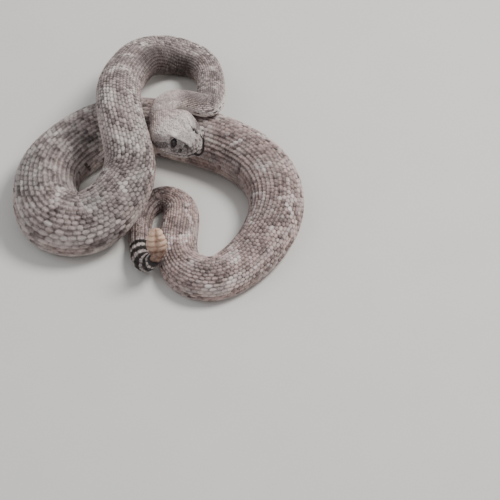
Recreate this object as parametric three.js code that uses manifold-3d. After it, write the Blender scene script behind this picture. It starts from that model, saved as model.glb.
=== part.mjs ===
// A western diamondback rattlesnake, life size, at rest in loose coils with its head raised over them.
// Millimetres, +Z up. The belly lies on z = 0, and the front of the pose faces -Y.
import * as THREE from "three";
import { mergeVertices } from "three/addons/utils/BufferGeometryUtils.js";
import Module from "manifold-3d";

const wasm = await Module();
wasm.setup();

// Pose of the backbone: x, y and height of the middle of the body, from behind the skull to the tail's end.
// Where no height is given, that stretch lies on its belly.
const NECK_ROUTE = [
  [3.2, 9.3, 56], [1.5, 14.2, 55.8], [2.2, 20, 56], [6.4, 26.8, 56], [13, 32, 54], [24, 33, 51],
];
const FOLD_ROUTE = [[36, 33, 47], [42, 57, 35], [40, 90, 21]];
const ARCH_ROUTE = [[28, 117], [8, 123], [-11, 113, 22]];
const COLUMN_ROUTE = [
  [-25, 80, 42], [-32, 34, 65], [-30, 1, 71], [-25, -19, 63], [-22, -35, 49],
];
const LEFT_COIL_ROUTE = [
  [-28, -50, 36.5], [-43, -64, 25.5], [-62, -70], [-82, -62], [-90, -41], [-87, -12], [-69, 14],
];
const CROSSING_ROUTE = [[-43, 33], [-9, 37], [29, 27]];
const RIGHT_COIL_ROUTE = [
  [64, 10], [86, -12], [95, -47], [84, -84], [64, -109], [42, -120], [24, -111], [16.5, -88], [18, -60],
];
const TAIL_ROUTE = [
  [15.5, -41], [4, -33.5], [-8, -40], [-13.7, -57], [-14, -77], [-12.3, -93, 9], [-9.3, -103, 11.8],
  [-4.8, -107.4, 15.6], [-1.2, -110.3, 21.8],
];

// Half the width of the body at distances behind the skull
const GIRTH = [
  [0, 10.1], [3, 9.4], [8, 8.9], [14, 8.8], [38, 9.2], [66, 11.2], [122, 12], [152, 15.2], [178, 17.4],
  [330, 18], [376, 21], [442, 26.8], [490, 25.4], [690, 23.2], [760, 21.4], [830, 18.3], [860, 18],
  [900, 15.2], [930, 14.3], [962, 10.2], [985, 9.2], [1034, 8.7], [1043, 8.1], [1049, 6.6],
];
const BACK_HEIGHT = 0.88; // height of the back over the widest line, per half width
const BELLY_DEPTH = 0.78;
const SITTING_HEIGHT = 0.72; // height of the widest line over the ground where the belly lies flat
const BACK_POWER = 1.95;
const BELLY_POWER = 2.6;
const FREE_LEAN = 0.55; // share of the bend radius that the inner flank takes before it is squeezed
const SQUEEZED_ROOM = 0.37;

const BODY_SIDES = 18;
const RING_SPACING = 7.2;
const SEAM = 0.3; // gap between two lengths of the body
const CURVE_STEPS = 24; // samples of the backbone's curve between two stations
const CURVE_OVER_CHORD = 1.012; // length of the curve between stations, per straight length
const DIRECTION_REACH = [0.2, 2.5]; // shortest and longest step over which the direction is taken
const BEND_REACH = 6; // step over which the bend of the backbone is taken
const STEEP = 0.8; // climb past which a section keeps the sideways direction of the one before

// Head, in its own frame: x forward from the neck to the snout, y to the left, z up
const HEAD_AT = NECK_ROUTE[0];
const HEAD_YAW = -58;
const HEAD_PITCH = -9;
const HEAD_ROLL = 5;
const HEAD_LENGTH = 50.5;
const HEAD_HALF_WIDTH = [
  [0, 10.1], [3, 12.3], [6, 15.3], [9, 17.7], [12.5, 19.2], [17, 19.9], [23, 19.6], [28, 18.6], [33, 16.8],
  [38, 14.1], [42, 12], [45.5, 9.8], [48, 7.4], [49.8, 4.8], [50.5, 2.4],
];
const CROWN_HEIGHT = [
  [0, 8.7], [6, 9.6], [12, 10.6], [20, 11], [30, 10.4], [38, 9.6], [44, 8.8], [48, 7.4], [49.6, 5.8],
  [50.5, 3],
];
const CHIN_DEPTH = [
  [0, 7.7], [5, 8.6], [11, 9.6], [20, 9.9], [32, 9.7], [41, 8.8], [47, 7.2], [49.6, 5], [50.5, 3],
];
const CHIN_POWER = 2.9;
const REAR_SLANT = 0.22; // share of the half width lost between the lips and the crown
const FRONT_SLANT = 0.44;
const SLANT_SPAN = [18, 34]; // stretch over which the one turns into the other
const HEAD_SIDES = 36;
const HEAD_RINGS = 30;
const SNOUT_CROWDING = 1.35; // over 1, the rings lie closer together towards the snout
const FLAT_CROWN_POWER = 4.6;
const ROUND_NAPE_POWER = 2.1;
const FLAT_CROWN_SPAN = [6, 24]; // stretch over which the round nape turns into the flat crown

const MOUTH_GAP = 0.35;
const MOUTH_LINE = [[58, -2.8], [46, -2.8], [34, -3.8], [23, -3.8], [14, -5], [10, -7.6], [9, -20]];
const MOUTH_CORNER = 4; // index of the point from which the gap turns down to the throat
const THROAT_GAP = 0.6; // width of the gap there, per width between the lips
const GAP_HALF_WIDTH = 30; // past both flanks of the head

const EYE_RADIUS = 3.6;
const EYE_AT = [36.4, 8.2, 4.2];
const BROW_AT = [34, 7.4, 9];
const BROW_HALF_SIZE = [6, 2.8, 1.4];
const BROW_SLANT = 0.12; // radians, outer edge down
const BROW_TURN = -0.2; // radians, front end in
const PIT_AT = [44.6, 9.3, 2];
const PIT_HALF_SIZE = [1.2, 2, 1.2];
const NOSTRIL_AT = [47.3, 5.6, 5.8];
const NOSTRIL_HALF_SIZE = [0.8, 1.3, 0.8];
const EYE_SIDES = 16;
const SOCKET_SIDES = 12;
const PIT_SIDES = 8;

const TONGUE_HALF_WIDTH = 1.2;
const TONGUE_CLEARANCE = 0.35;
const TONGUE_ROUTE = [
  [43, 0, -2.8], [49, 0, -2.9], [53, 1.4, -3.6], [56.1, 4, -0.4], [57.4, 6, 6.5], [57.7, 7.3, 13],
];
const TINE_ROUTE = [[57.7, 0, 11], [57.8, 0.9, 16], [58.2, 2.2, 20]];
const TINE_MIDDLE = 7.1;
const TINE_HALF_WIDTH = 0.55;
const TONGUE_TAPER = 0.8; // width at the fork, per width between the lips
const TINE_TAPER = 0.45;
const TUBE_SIDES = 8;
const TUBE_STEPS = 3; // between two points of a tube's route

// Rattle, drawn along its own axis with its broad side to the front
const RATTLE_SEGMENTS = 7;
const RATTLE_LENGTH = 31.5;
const RATTLE_HALF_WIDTH =
  [[0, 4.2], [6, 4.6], [11, 6.3], [16, 7.4], [20.5, 7.2], [25, 6], [29, 4.4], [31.5, 2.8]];
const RATTLE_FLATNESS = 0.62;
const RATTLE_GROOVE = 0.16; // depth of the groove, per half thickness
const RATTLE_GROOVE_WIDTH = 0.28; // per half width
const RATTLE_LOBE = 0.13; // swelling of a segment over its ends, per half width
const RATTLE_SIDES = 18;
const RINGS_PER_SEGMENT = 4;
const RATTLE_TILT = [-0.06, 0.36, 1];
const RATTLE_BEND = 14; // length over which the rattle turns from the tail's direction to its own

// Where the body is parted, by distance behind the skull, and the name of each length
const LENGTHS = [
  ["neck", 48], ["neck_fold", 100], ["body_01_arch_right", 158], ["body_02_arch_left", 214],
  ["body_03_column_back", 282], ["body_04_column_front", 345], ["body_05_coil_entry", 404],
  ["body_06_coil_front", 447], ["body_07_coil_left", 494], ["body_08_coil_back", 552],
  ["body_09_crossing", 640], ["body_10_right_back", 708], ["body_11_right_side", 778],
  ["body_12_right_front", 826], ["body_13_right_bottom", 874], ["body_14_right_arm", 930],
  ["tail_bend", 968], ["tail_ringed", 1022], ["tail_tip", Infinity],
];

const COLOURS = {
  head: 0xa59b94, back: 0x96827a, coil: 0xa5806f, tail: 0xaaa5a0, eye: 0x1b1712, tongue: 0x0b0a0c,
  rattle: 0xc4986f,
};

const UP = new THREE.Vector3(0, 0, 1);

// A smooth curve of a value through pairs of place and value
function profile(pairs) {
  const last = pairs.length - 1;
  const slopeAt = (i) => {
    const a = pairs[Math.max(i - 1, 0)];
    const b = pairs[Math.min(i + 1, last)];
    return (b[1] - a[1]) / (b[0] - a[0]);
  };
  return (place) => {
    const at = Math.min(Math.max(place, pairs[0][0]), pairs[last][0]);
    let i = 0;
    while (i < last - 1 && at > pairs[i + 1][0]) i += 1;
    const [x0, y0] = pairs[i];
    const [x1, y1] = pairs[i + 1];
    const span = x1 - x0;
    const t = (at - x0) / span;
    const rise = t * t * (3 - 2 * t);
    const early = t * (1 - t) * (1 - t) * span * slopeAt(i);
    const late = t * t * (t - 1) * span * slopeAt(i + 1);
    return y0 + (y1 - y0) * rise + early + late;
  };
}

// A curve with even curvature through the points, leaving the first one along a given direction
function smoothCurve(points, startDirection) {
  const n = points.length;
  const span = points.slice(1).map((p, i) => p.distanceTo(points[i]));
  const chord = (i) => points[i + 1].clone().sub(points[i]).divideScalar(span[i]);
  const bend = points.map(() => new THREE.Vector3());
  const weight = new Array(n).fill(0);
  weight[0] = 0.5;
  bend[0].copy(chord(0)).sub(startDirection).multiplyScalar(3 / span[0]);
  for (let i = 1; i < n - 1; i += 1) {
    const pivot = 2 * (span[i - 1] + span[i]) - span[i - 1] * weight[i - 1];
    weight[i] = span[i] / pivot;
    bend[i].copy(chord(i)).sub(chord(i - 1)).multiplyScalar(6);
    bend[i].addScaledVector(bend[i - 1], -span[i - 1]).divideScalar(pivot);
  }
  for (let i = n - 2; i >= 0; i -= 1) bend[i].addScaledVector(bend[i + 1], -weight[i]);
  return (i, t) => {
    const h = span[i];
    const a = 1 - t;
    return points[i].clone().multiplyScalar(a).addScaledVector(points[i + 1], t)
      .addScaledVector(bend[i], ((a * a * a - a) * h * h) / 6)
      .addScaledVector(bend[i + 1], ((t * t * t - t) * h * h) / 6);
  };
}

// The backbone as a function of the distance behind the skull
function makeBackbone(stations, startDirection) {
  const girth = profile(GIRTH);
  const points = stations.map(([x, y, z]) => new THREE.Vector3(x, y, z ?? 0));
  let placed = 0;
  points.forEach((p, i) => {
    const lies = stations[i][2] === undefined;
    if (i > 0) placed += CURVE_OVER_CHORD * p.distanceTo(points[i - 1]);
    if (lies) p.z = SITTING_HEIGHT * girth(placed);
  });
  const curve = smoothCurve(points, startDirection);
  const samples = [points[0].clone()];
  for (let i = 0; i < points.length - 1; i += 1)
    for (let k = 1; k <= CURVE_STEPS; k += 1) samples.push(curve(i, k / CURVE_STEPS));
  const reach = [0];
  for (let i = 1; i < samples.length; i += 1)
    reach.push(reach[i - 1] + samples[i].distanceTo(samples[i - 1]));
  const length = reach[reach.length - 1];
  const at = (s) => {
    const place = Math.min(Math.max(s, 0), length);
    let low = 0;
    let high = reach.length - 1;
    while (high - low > 1) {
      const middle = (low + high) >> 1;
      if (reach[middle] <= place) low = middle;
      else high = middle;
    }
    const t = (place - reach[low]) / (reach[high] - reach[low]);
    return samples[low].clone().lerp(samples[high], t);
  };
  return { length, at, girth };
}

// Position, direction, sideways and upward vectors and bend of the backbone at a distance
function frameAt(backbone, s, before) {
  const left = backbone.length - s;
  const reach = THREE.MathUtils.clamp(Math.min(s, left), ...DIRECTION_REACH);
  const s0 = Math.max(s - reach, 0);
  const s1 = Math.min(s + reach, backbone.length);
  const a = backbone.at(s0);
  const c = backbone.at(s);
  const b = backbone.at(s1);
  const along = b.clone().sub(a).normalize();
  const side = Math.abs(along.z) > STEEP && before
    ? before.side.clone().addScaledVector(along, -before.side.dot(along)).normalize()
    : UP.clone().cross(along).normalize();
  const up = along.clone().cross(side);
  const far = backbone.at(s - BEND_REACH).add(backbone.at(s + BEND_REACH));
  const bend = Math.min(s, left) < BEND_REACH
    ? new THREE.Vector3()
    : far.addScaledVector(c, -2).divideScalar(BEND_REACH * BEND_REACH);
  return { s, at: c, along, side, up, bend };
}

// One cross-section of the body: rounded back, flat belly, inner flank squeezed where the body bends hard
function bodyRing(frame, half, shift) {
  const ring = [];
  for (let k = 0; k < BODY_SIDES; k += 1) {
    const angle = (2 * Math.PI * k) / BODY_SIDES;
    const c = Math.cos(angle);
    const s = Math.sin(angle);
    const power = 2 / (s >= 0 ? BACK_POWER : BELLY_POWER);
    const depth = s >= 0 ? BACK_HEIGHT : BELLY_DEPTH;
    const offset = frame.side.clone().multiplyScalar(half * Math.sign(c) * Math.abs(c) ** power)
      .addScaledVector(frame.up, half * depth * Math.sign(s) * Math.abs(s) ** power);
    const lean = offset.dot(frame.bend);
    if (lean > FREE_LEAN) {
      const kept = FREE_LEAN + SQUEEZED_ROOM * Math.tanh((lean - FREE_LEAN) / SQUEEZED_ROOM);
      offset.addScaledVector(frame.bend, (kept - lean) / frame.bend.lengthSq());
    }
    const point = frame.at.clone().add(offset).addScaledVector(frame.along, shift);
    point.z = Math.max(point.z, 0);
    ring.push(point);
  }
  return ring;
}

// A closed surface through rings of the same number of points, with a flat end at each side
function skinOver(rings) {
  const sides = rings[0].length;
  const points = rings.flat();
  const middle = (ring) => ring.reduce((sum, p) => sum.add(p), new THREE.Vector3()).divideScalar(sides);
  points.push(middle(rings[0]), middle(rings[rings.length - 1]));
  const first = points.length - 2;
  const last = points.length - 1;
  const faces = [];
  for (let i = 0; i < rings.length - 1; i += 1)
    for (let k = 0; k < sides; k += 1) {
      const a = i * sides + k;
      const b = i * sides + ((k + 1) % sides);
      faces.push(a, b, a + sides, b, b + sides, a + sides);
    }
  const end = (rings.length - 1) * sides;
  for (let k = 0; k < sides; k += 1) {
    const next = (k + 1) % sides;
    faces.push(first, next, k);
    faces.push(last, end + k, end + next);
  }
  const geometry = new THREE.BufferGeometry();
  geometry.setAttribute("position", new THREE.Float32BufferAttribute(points.flatMap((p) => p.toArray()), 3));
  geometry.setIndex(faces);
  return geometry;
}

// Joining and cutting
function toSolid(geometry) {
  const bare = geometry.clone();
  bare.deleteAttribute("normal");
  bare.deleteAttribute("uv");
  const merged = mergeVertices(bare, 1e-4);
  const solid = new wasm.Manifold(new wasm.Mesh({
    numProp: 3,
    vertProperties: new Float32Array(merged.attributes.position.array),
    triVerts: new Uint32Array(merged.index.array),
  }));
  if (solid.volume() > 0) return solid;
  throw new Error("a piece is inside out");
}

function toGeometry(solid) {
  const mesh = solid.getMesh();
  const geometry = new THREE.BufferGeometry();
  geometry.setAttribute("position", new THREE.Float32BufferAttribute(mesh.vertProperties, 3));
  geometry.setIndex(Array.from(mesh.triVerts));
  return geometry;
}

function largest(solid) {
  return solid.decompose().reduce((best, piece) => (piece.volume() > best.volume() ? piece : best));
}

const LEVEL = [0, 0, 0];

function blob(radii, at, turn, sides) {
  const shape = new THREE.SphereGeometry(1, sides, Math.round(0.6 * sides));
  const matrix = new THREE.Matrix4().compose(
    new THREE.Vector3(...at),
    new THREE.Quaternion().setFromEuler(new THREE.Euler(...turn)),
    new THREE.Vector3(...radii),
  );
  return toSolid(shape.applyMatrix4(matrix));
}

// A round tube along a smooth line, its half width given from start to end
function tube(route, halfWidths) {
  const line = new THREE.CatmullRomCurve3(route.map((p) => new THREE.Vector3(...p)));
  const steps = TUBE_STEPS * (route.length - 1);
  const rings = [];
  for (let i = 0; i <= steps; i += 1) {
    const t = i / steps;
    const along = line.getTangent(t);
    const side = new THREE.Vector3(0, 1, 0).addScaledVector(along, -along.y).normalize();
    const up = along.clone().cross(side);
    const half = halfWidths[0] + (halfWidths[1] - halfWidths[0]) * t;
    const ring = [];
    for (let k = 0; k < TUBE_SIDES; k += 1) {
      const angle = (2 * Math.PI * k) / TUBE_SIDES;
      ring.push(line.getPoint(t).addScaledVector(side, half * Math.cos(angle))
        .addScaledVector(up, half * Math.sin(angle)));
    }
    rings.push(ring);
  }
  return toSolid(skinOver(rings));
}

// Head: rings from the neck joint to the snout, broad over the venom glands, flat-topped in front
const halfWidthOfHead = profile(HEAD_HALF_WIDTH);
const crownHeight = profile(CROWN_HEIGHT);
const chinDepth = profile(CHIN_DEPTH);

function headRing(x) {
  const flat = THREE.MathUtils.smoothstep(x, ...FLAT_CROWN_SPAN);
  const slant = REAR_SLANT + (FRONT_SLANT - REAR_SLANT) * THREE.MathUtils.smoothstep(x, ...SLANT_SPAN);
  const crownPower = ROUND_NAPE_POWER + (FLAT_CROWN_POWER - ROUND_NAPE_POWER) * flat;
  const ring = [];
  for (let k = 0; k < HEAD_SIDES; k += 1) {
    const angle = (2 * Math.PI * k) / HEAD_SIDES;
    const c = Math.cos(angle);
    const s = Math.sin(angle);
    const power = 2 / (s >= 0 ? crownPower : CHIN_POWER);
    const height = s >= 0 ? crownHeight(x) : chinDepth(x);
    const z = height * Math.sign(s) * Math.abs(s) ** power;
    const narrowing = 1 - slant * flat * Math.max(0, z / height);
    ring.push(new THREE.Vector3(x, halfWidthOfHead(x) * narrowing * Math.sign(c) * Math.abs(c) ** power, z));
  }
  return ring;
}

function wholeHead() {
  const rings = [];
  for (let i = 0; i <= HEAD_RINGS; i += 1) {
    const t = i / HEAD_RINGS;
    rings.push(headRing(HEAD_LENGTH * (1 - (1 - t) ** SNOUT_CROWDING)));
  }
  return toSolid(skinOver(rings));
}

// The thin gap between the jaws, from the snout back to the corner of the mouth and down to the throat
function mouthGap() {
  const lower = MOUTH_LINE.map(([x, z]) => new THREE.Vector2(x, z - MOUTH_GAP / 2));
  const upper = MOUTH_LINE.map(([x, z], i) => {
    const turned = i >= MOUTH_CORNER ? MOUTH_GAP * THROAT_GAP : 0;
    return new THREE.Vector2(x - turned, z + MOUTH_GAP / 2);
  });
  const outline = new THREE.Shape([...lower, ...upper.reverse()]);
  const slab = new THREE.ExtrudeGeometry(outline, { depth: 2 * GAP_HALF_WIDTH, bevelEnabled: false });
  slab.rotateX(Math.PI / 2).translate(0, GAP_HALF_WIDTH, 0);
  return toSolid(slab);
}

function bothSides(at, make) {
  return [-1, 1].map((sign) => make([at[0], sign * at[1], at[2]], sign));
}

function makeHead() {
  let head = wholeHead();
  const makeBrow = (at, sign) =>
    blob(BROW_HALF_SIZE, at, [-sign * BROW_SLANT, 0, sign * BROW_TURN], SOCKET_SIDES);
  for (const brow of bothSides(BROW_AT, makeBrow)) head = head.add(brow);
  const socketSize = Array(3).fill(EYE_RADIUS + SEAM);
  const sockets = bothSides(EYE_AT, (at) => blob(socketSize, at, LEVEL, SOCKET_SIDES));
  const pits = bothSides(PIT_AT, (at) => blob(PIT_HALF_SIZE, at, LEVEL, PIT_SIDES));
  const nostrils = bothSides(NOSTRIL_AT, (at) => blob(NOSTRIL_HALF_SIZE, at, LEVEL, PIT_SIDES));
  const tongueWay = tube(TONGUE_ROUTE, Array(2).fill(TONGUE_HALF_WIDTH + TONGUE_CLEARANCE));
  for (const cut of [...sockets, ...pits, ...nostrils, tongueWay]) head = head.subtract(cut);
  const pieces = head.subtract(mouthGap()).decompose().sort((a, b) => b.volume() - a.volume());
  return { skull: pieces[0], jaw: pieces[1] };
}

function makeTongue() {
  let tongue = tube(TONGUE_ROUTE, [TONGUE_HALF_WIDTH, TONGUE_HALF_WIDTH * TONGUE_TAPER]);
  for (const sign of [-1, 1]) {
    const route = TINE_ROUTE.map(([x, y, z]) => [x, TINE_MIDDLE + y * sign, z]);
    tongue = tongue.add(tube(route, [TINE_HALF_WIDTH, TINE_HALF_WIDTH * TINE_TAPER]));
  }
  return largest(tongue);
}

// Rattle: a bent string of flattened, lobed segments with a groove down each broad side
function makeRattle(start, startDirection) {
  const width = profile(RATTLE_HALF_WIDTH);
  const upright = new THREE.Vector3(...RATTLE_TILT).normalize();
  const sideways = new THREE.Vector3(1, 0, 0);
  const ringCount = RATTLE_SEGMENTS * RINGS_PER_SEGMENT;
  const step = RATTLE_LENGTH / ringCount;
  const middle = start.clone();
  const rings = [];
  for (let i = 0; i <= ringCount; i += 1) {
    const place = step * i;
    const turned = THREE.MathUtils.smoothstep(place, 0, RATTLE_BEND);
    const along = startDirection.clone().lerp(upright, turned).normalize();
    const front = along.clone().cross(sideways).normalize();
    const across = front.clone().cross(along).normalize();
    if (i > 0) middle.addScaledVector(along, step);
    const lobe = 1 - RATTLE_LOBE * Math.cos((2 * Math.PI * i) / RINGS_PER_SEGMENT);
    const half = width(place) * lobe;
    const ring = [];
    for (let k = 0; k < RATTLE_SIDES; k += 1) {
      const angle = (2 * Math.PI * k) / RATTLE_SIDES;
      const c = Math.cos(angle);
      const s = Math.sin(angle);
      const groove = 1 - RATTLE_GROOVE * Math.exp(-((c / RATTLE_GROOVE_WIDTH) ** 2));
      ring.push(middle.clone().addScaledVector(across, half * c)
        .addScaledVector(front, half * RATTLE_FLATNESS * groove * s));
    }
    rings.push(ring);
  }
  return skinOver(rings);
}

function named(name, geometry, colour, roughness) {
  const material = new THREE.MeshStandardMaterial({ color: colour, roughness, metalness: 0 });
  const mesh = new THREE.Mesh(geometry, material);
  mesh.name = name;
  return mesh;
}

function colourOf(name) {
  if (name.startsWith("tail")) return COLOURS.tail;
  return /right|crossing/.test(name) && !name.includes("arch") ? COLOURS.coil : COLOURS.back;
}

const snake = new THREE.Group();

const headGroup = new THREE.Group();
headGroup.position.set(...HEAD_AT);
headGroup.rotation.set(...[HEAD_ROLL, HEAD_PITCH, HEAD_YAW].map(THREE.MathUtils.degToRad), "ZYX");
const { skull, jaw } = makeHead();
headGroup.add(named("head", toGeometry(skull), COLOURS.head, 0.75));
headGroup.add(named("lower_jaw", toGeometry(jaw), COLOURS.head, 0.75));
bothSides(EYE_AT, (at, sign) => {
  const name = sign > 0 ? "eye_left" : "eye_right";
  const ball = blob(Array(3).fill(EYE_RADIUS), at, LEVEL, EYE_SIDES);
  headGroup.add(named(name, toGeometry(ball), COLOURS.eye, 0.15));
});
headGroup.add(named("tongue", toGeometry(makeTongue()), COLOURS.tongue, 0.4));
snake.add(headGroup);

headGroup.updateMatrixWorld(true);
const forward = new THREE.Vector3(1, 0, 0).transformDirection(headGroup.matrixWorld);
const route = [
  ...NECK_ROUTE, ...FOLD_ROUTE, ...ARCH_ROUTE, ...COLUMN_ROUTE, ...LEFT_COIL_ROUTE, ...CROSSING_ROUTE,
  ...RIGHT_COIL_ROUTE, ...TAIL_ROUTE,
];
const backbone = makeBackbone(route, forward.clone().negate());

let start = 0;
let lastFrame = null;
for (const [name, cut] of LENGTHS) {
  const stop = Math.min(cut, backbone.length);
  const count = Math.max(3, Math.round((stop - start) / RING_SPACING));
  const rings = [];
  for (let i = 0; i <= count; i += 1) {
    const s = start + ((stop - start) * i) / count;
    const free = i === 0 && start === 0 ? SEAM : SEAM / 2;
    const shift = i === 0 ? free : i === count ? -free : 0;
    lastFrame = frameAt(backbone, s, lastFrame);
    rings.push(bodyRing(lastFrame, backbone.girth(s), shift));
  }
  snake.add(named(name, skinOver(rings), colourOf(name), 0.8));
  start = stop;
}

const rattleStart = lastFrame.at.clone().addScaledVector(lastFrame.along, SEAM / 2);
snake.add(named("rattle", makeRattle(rattleStart, lastFrame.along), COLOURS.rattle, 0.5));

export default snake;
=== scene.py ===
"""A western diamondback rattlesnake at rest in loose coils, life size, with skin, scales and markings."""
import functools
import math

import bpy
import numpy as np
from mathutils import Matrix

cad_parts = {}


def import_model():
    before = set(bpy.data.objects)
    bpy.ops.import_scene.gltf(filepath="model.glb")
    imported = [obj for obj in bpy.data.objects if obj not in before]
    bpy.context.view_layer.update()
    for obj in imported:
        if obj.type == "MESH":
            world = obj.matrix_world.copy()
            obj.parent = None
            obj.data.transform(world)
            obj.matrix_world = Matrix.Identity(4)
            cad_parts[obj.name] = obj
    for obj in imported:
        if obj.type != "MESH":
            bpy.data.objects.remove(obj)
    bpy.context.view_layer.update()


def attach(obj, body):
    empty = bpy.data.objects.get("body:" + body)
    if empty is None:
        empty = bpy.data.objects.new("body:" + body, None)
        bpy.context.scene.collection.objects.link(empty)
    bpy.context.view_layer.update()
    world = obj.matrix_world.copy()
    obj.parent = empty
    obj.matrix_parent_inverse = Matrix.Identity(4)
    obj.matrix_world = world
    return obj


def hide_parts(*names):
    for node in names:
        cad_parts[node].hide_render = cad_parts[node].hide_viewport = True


MM = 0.001
SEED = 20

# Pose of the backbone in millimetres, as in the solids: x, y and, where the body is lifted, the height
NECK_ROUTE = [(3.2, 9.3, 56), (1.5, 14.2, 55.8), (2.2, 20, 56), (6.4, 26.8, 56), (13, 32, 54), (24, 33, 51)]
FOLD_ROUTE = [(36, 33, 47), (42, 57, 35), (40, 90, 21)]
ARCH_ROUTE = [(28, 117), (8, 123), (-11, 113, 22)]
COLUMN_ROUTE = [(-25, 80, 42), (-32, 34, 65), (-30, 1, 71), (-25, -19, 63), (-22, -35, 49)]
LEFT_COIL_ROUTE = [
    (-28, -50, 36.5), (-43, -64, 25.5), (-62, -70), (-82, -62), (-90, -41), (-87, -12), (-69, 14),
]
CROSSING_ROUTE = [(-43, 33), (-9, 37), (29, 27)]
RIGHT_COIL_ROUTE = [
    (64, 10), (86, -12), (95, -47), (84, -84), (64, -109), (42, -120), (24, -111), (16.5, -88), (18, -60),
]
TAIL_ROUTE = [
    (15.5, -41), (4, -33.5), (-8, -40), (-13.7, -57), (-14, -77), (-12.3, -93, 9), (-9.3, -103, 11.8),
    (-4.8, -107.4, 15.6), (-1.2, -110.3, 21.8),
]
CURVE_STEPS = 24  # samples of the backbone's curve between two stations
CURVE_OVER_CHORD = 1.012  # length of the curve between stations, per straight length
DIRECTION_REACH = (0.2, 2.5)  # shortest and longest step over which the direction is taken
BEND_REACH = 6.0  # step over which the bend of the backbone is taken
STEEP = 0.8  # climb past which a section keeps the sideways direction of the one before
# Half width of the body, by distance behind the skull
GIRTH = [
    (0, 10.1), (3, 9.4), (8, 8.9), (14, 8.8), (38, 9.2), (66, 11.2), (122, 12), (152, 15.2), (178, 17.4),
    (330, 18), (376, 21), (442, 26.8), (490, 25.4), (690, 23.2), (760, 21.4), (830, 18.3), (860, 18),
    (900, 15.2), (930, 14.3), (962, 10.2), (985, 9.2), (1034, 8.7), (1043, 8.1), (1049, 6.6),
]
BACK_HEIGHT = 0.88  # per half width, like the next two
BELLY_DEPTH = 0.78
SITTING_HEIGHT = 0.72
BACK_POWER, BELLY_POWER = 1.95, 2.6
FREE_LEAN = 0.55  # share of the bend's radius that the inner side may take up
SQUEEZED_ROOM = 0.37  # further share, into which what lies deeper is squeezed

# Head, in its own frame: x forward, y to the left, z up
HEAD_YAW, HEAD_PITCH, HEAD_ROLL = -58, -9, 5
HEAD_LENGTH = 50.5
# Sizes of the head by distance in front of the neck, and the height of the mouth's line
HEAD_HALF_WIDTH = [
    (0, 10.1), (3, 12.3), (6, 15.3), (9, 17.7), (12.5, 19.2), (17, 19.9), (23, 19.6), (28, 18.6), (33, 16.8),
    (38, 14.1), (42, 12), (45.5, 9.8), (48, 7.4), (49.8, 4.8), (50.5, 2.4),
]
CROWN_HEIGHT = [
    (0, 8.7), (6, 9.6), (12, 10.6), (20, 11), (30, 10.4), (38, 9.6), (44, 8.8), (48, 7.4), (49.6, 5.8),
    (50.5, 3),
]
CHIN_DEPTH = [
    (0, 7.7), (5, 8.6), (11, 9.6), (20, 9.9), (32, 9.7), (41, 8.8), (47, 7.2), (49.6, 5), (50.5, 3),
]
CHIN_POWER = 2.9
FLAT_CROWN_POWER, ROUND_NAPE_POWER = 4.6, 2.1
FLAT_CROWN_SPAN = (6, 24)  # stretch over which the round nape turns into the flat crown
REAR_SLANT, FRONT_SLANT = 0.22, 0.44  # of the head's sides, inward to the crown
SLANT_SPAN = (18, 34)
MOUTH_HEIGHT = [(9, -8.5), (12, -6), (14, -5), (23, -3.8), (34, -3.8), (46, -2.8), (58, -2.8)]
MOUTH_CORNER = (9.5, 13)  # stretch over which the gap of the mouth begins
EYE_RADIUS = 3.6
EYE_AT = (36.4, 8.2, 4.2)
EYE_MIDDLE = (37.4, 5.4)  # of the visible disc: x and z, as in the next two
PIT_MIDDLE = (44.6, 2)
NOSTRIL_MIDDLE = (47.3, 5.8)
# Hollows: radius and depth, then the radius, width and height of the raised rim
SOCKET = (2.7, 1.6, 3.4, 0.7, 0.35)
PIT = (1.2, 2.0, 1.9, 0.5, 0.25)
NOSTRIL = (0.8, 1.4, 1.4, 0.4, 0.2)
BROW_AT = (34, 8.2, 9.2)
BROW_LENGTH, BROW_WIDTH = 7.2, 2.6
BROW_OUT, BROW_UP = 1.25, 0.75
SIDE_OF_HEAD = (2.5, 5.0)  # distance from the middle over which the relief of the sides begins
UNDER_BROW = (8.6, 9.6)  # height over which the brow ends the eye's hollow
MOUTH_GAP_DEPTH, MOUTH_GAP_WIDTH = 0.75, 0.38
LIP_RISE, LIP_MIDDLE, LIP_WIDTH = 0.25, 1.3, 0.8
SNOUT_BULGE = (3.2, 3.6, 0.2, 0.5)  # half width, half height, height of its middle, and rise
CANTHUS_RISE, CANTHUS_WIDTH, CANTHUS_SPAN = 0.4, 1.3, (32, 37, 47, 50.5)
CANTHUS_ROUTE = [
    (29, 7, 10), (32.7, 6.6, 9.8), (36.2, 6.4, 9.3), (39.1, 5.7, 9), (42.8, 4.6, 8.7), (46.3, 3.2, 7.9),
    (49.1, 1.4, 6.5),
]
TONGUE_ROUTE = [
    (43, 0, -2.8), (49, 0, -2.9), (53, 1.4, -3.6), (56.1, 4, -0.4), (57.4, 6, 6.5), (57.7, 7.3, 13),
]
TINE_ROUTE = [(57.7, 0, 11), (57.8, 0.9, 16), (58.2, 2.2, 20)]
TINE_MIDDLE = 7.1
TONGUE_HALF_WIDTHS = (1.2, 1.2, 1.15, 1.0, 0.75)
TINE_HALF_WIDTHS = (0.55, 0.5, 0.4, 0.22)

TAIL_END = [(0.6, 0.97), (1.3, 0.86), (1.8, 0.72), (2.1, 0.5)]  # how far out, and width, of its last rings
RATTLE_SEGMENTS = 7
RATTLE_LENGTH = 31.5
RATTLE_HALF_WIDTH = [(0, 4.2), (6, 4.6), (11, 6.3), (16, 7.4), (20.5, 7.2), (25, 6), (29, 4.8), (31.5, 3.9)]
RATTLE_FLATNESS = 0.62
RATTLE_TILT = (-0.06, 0.36, 1)
RATTLE_BEND = 14

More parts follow.
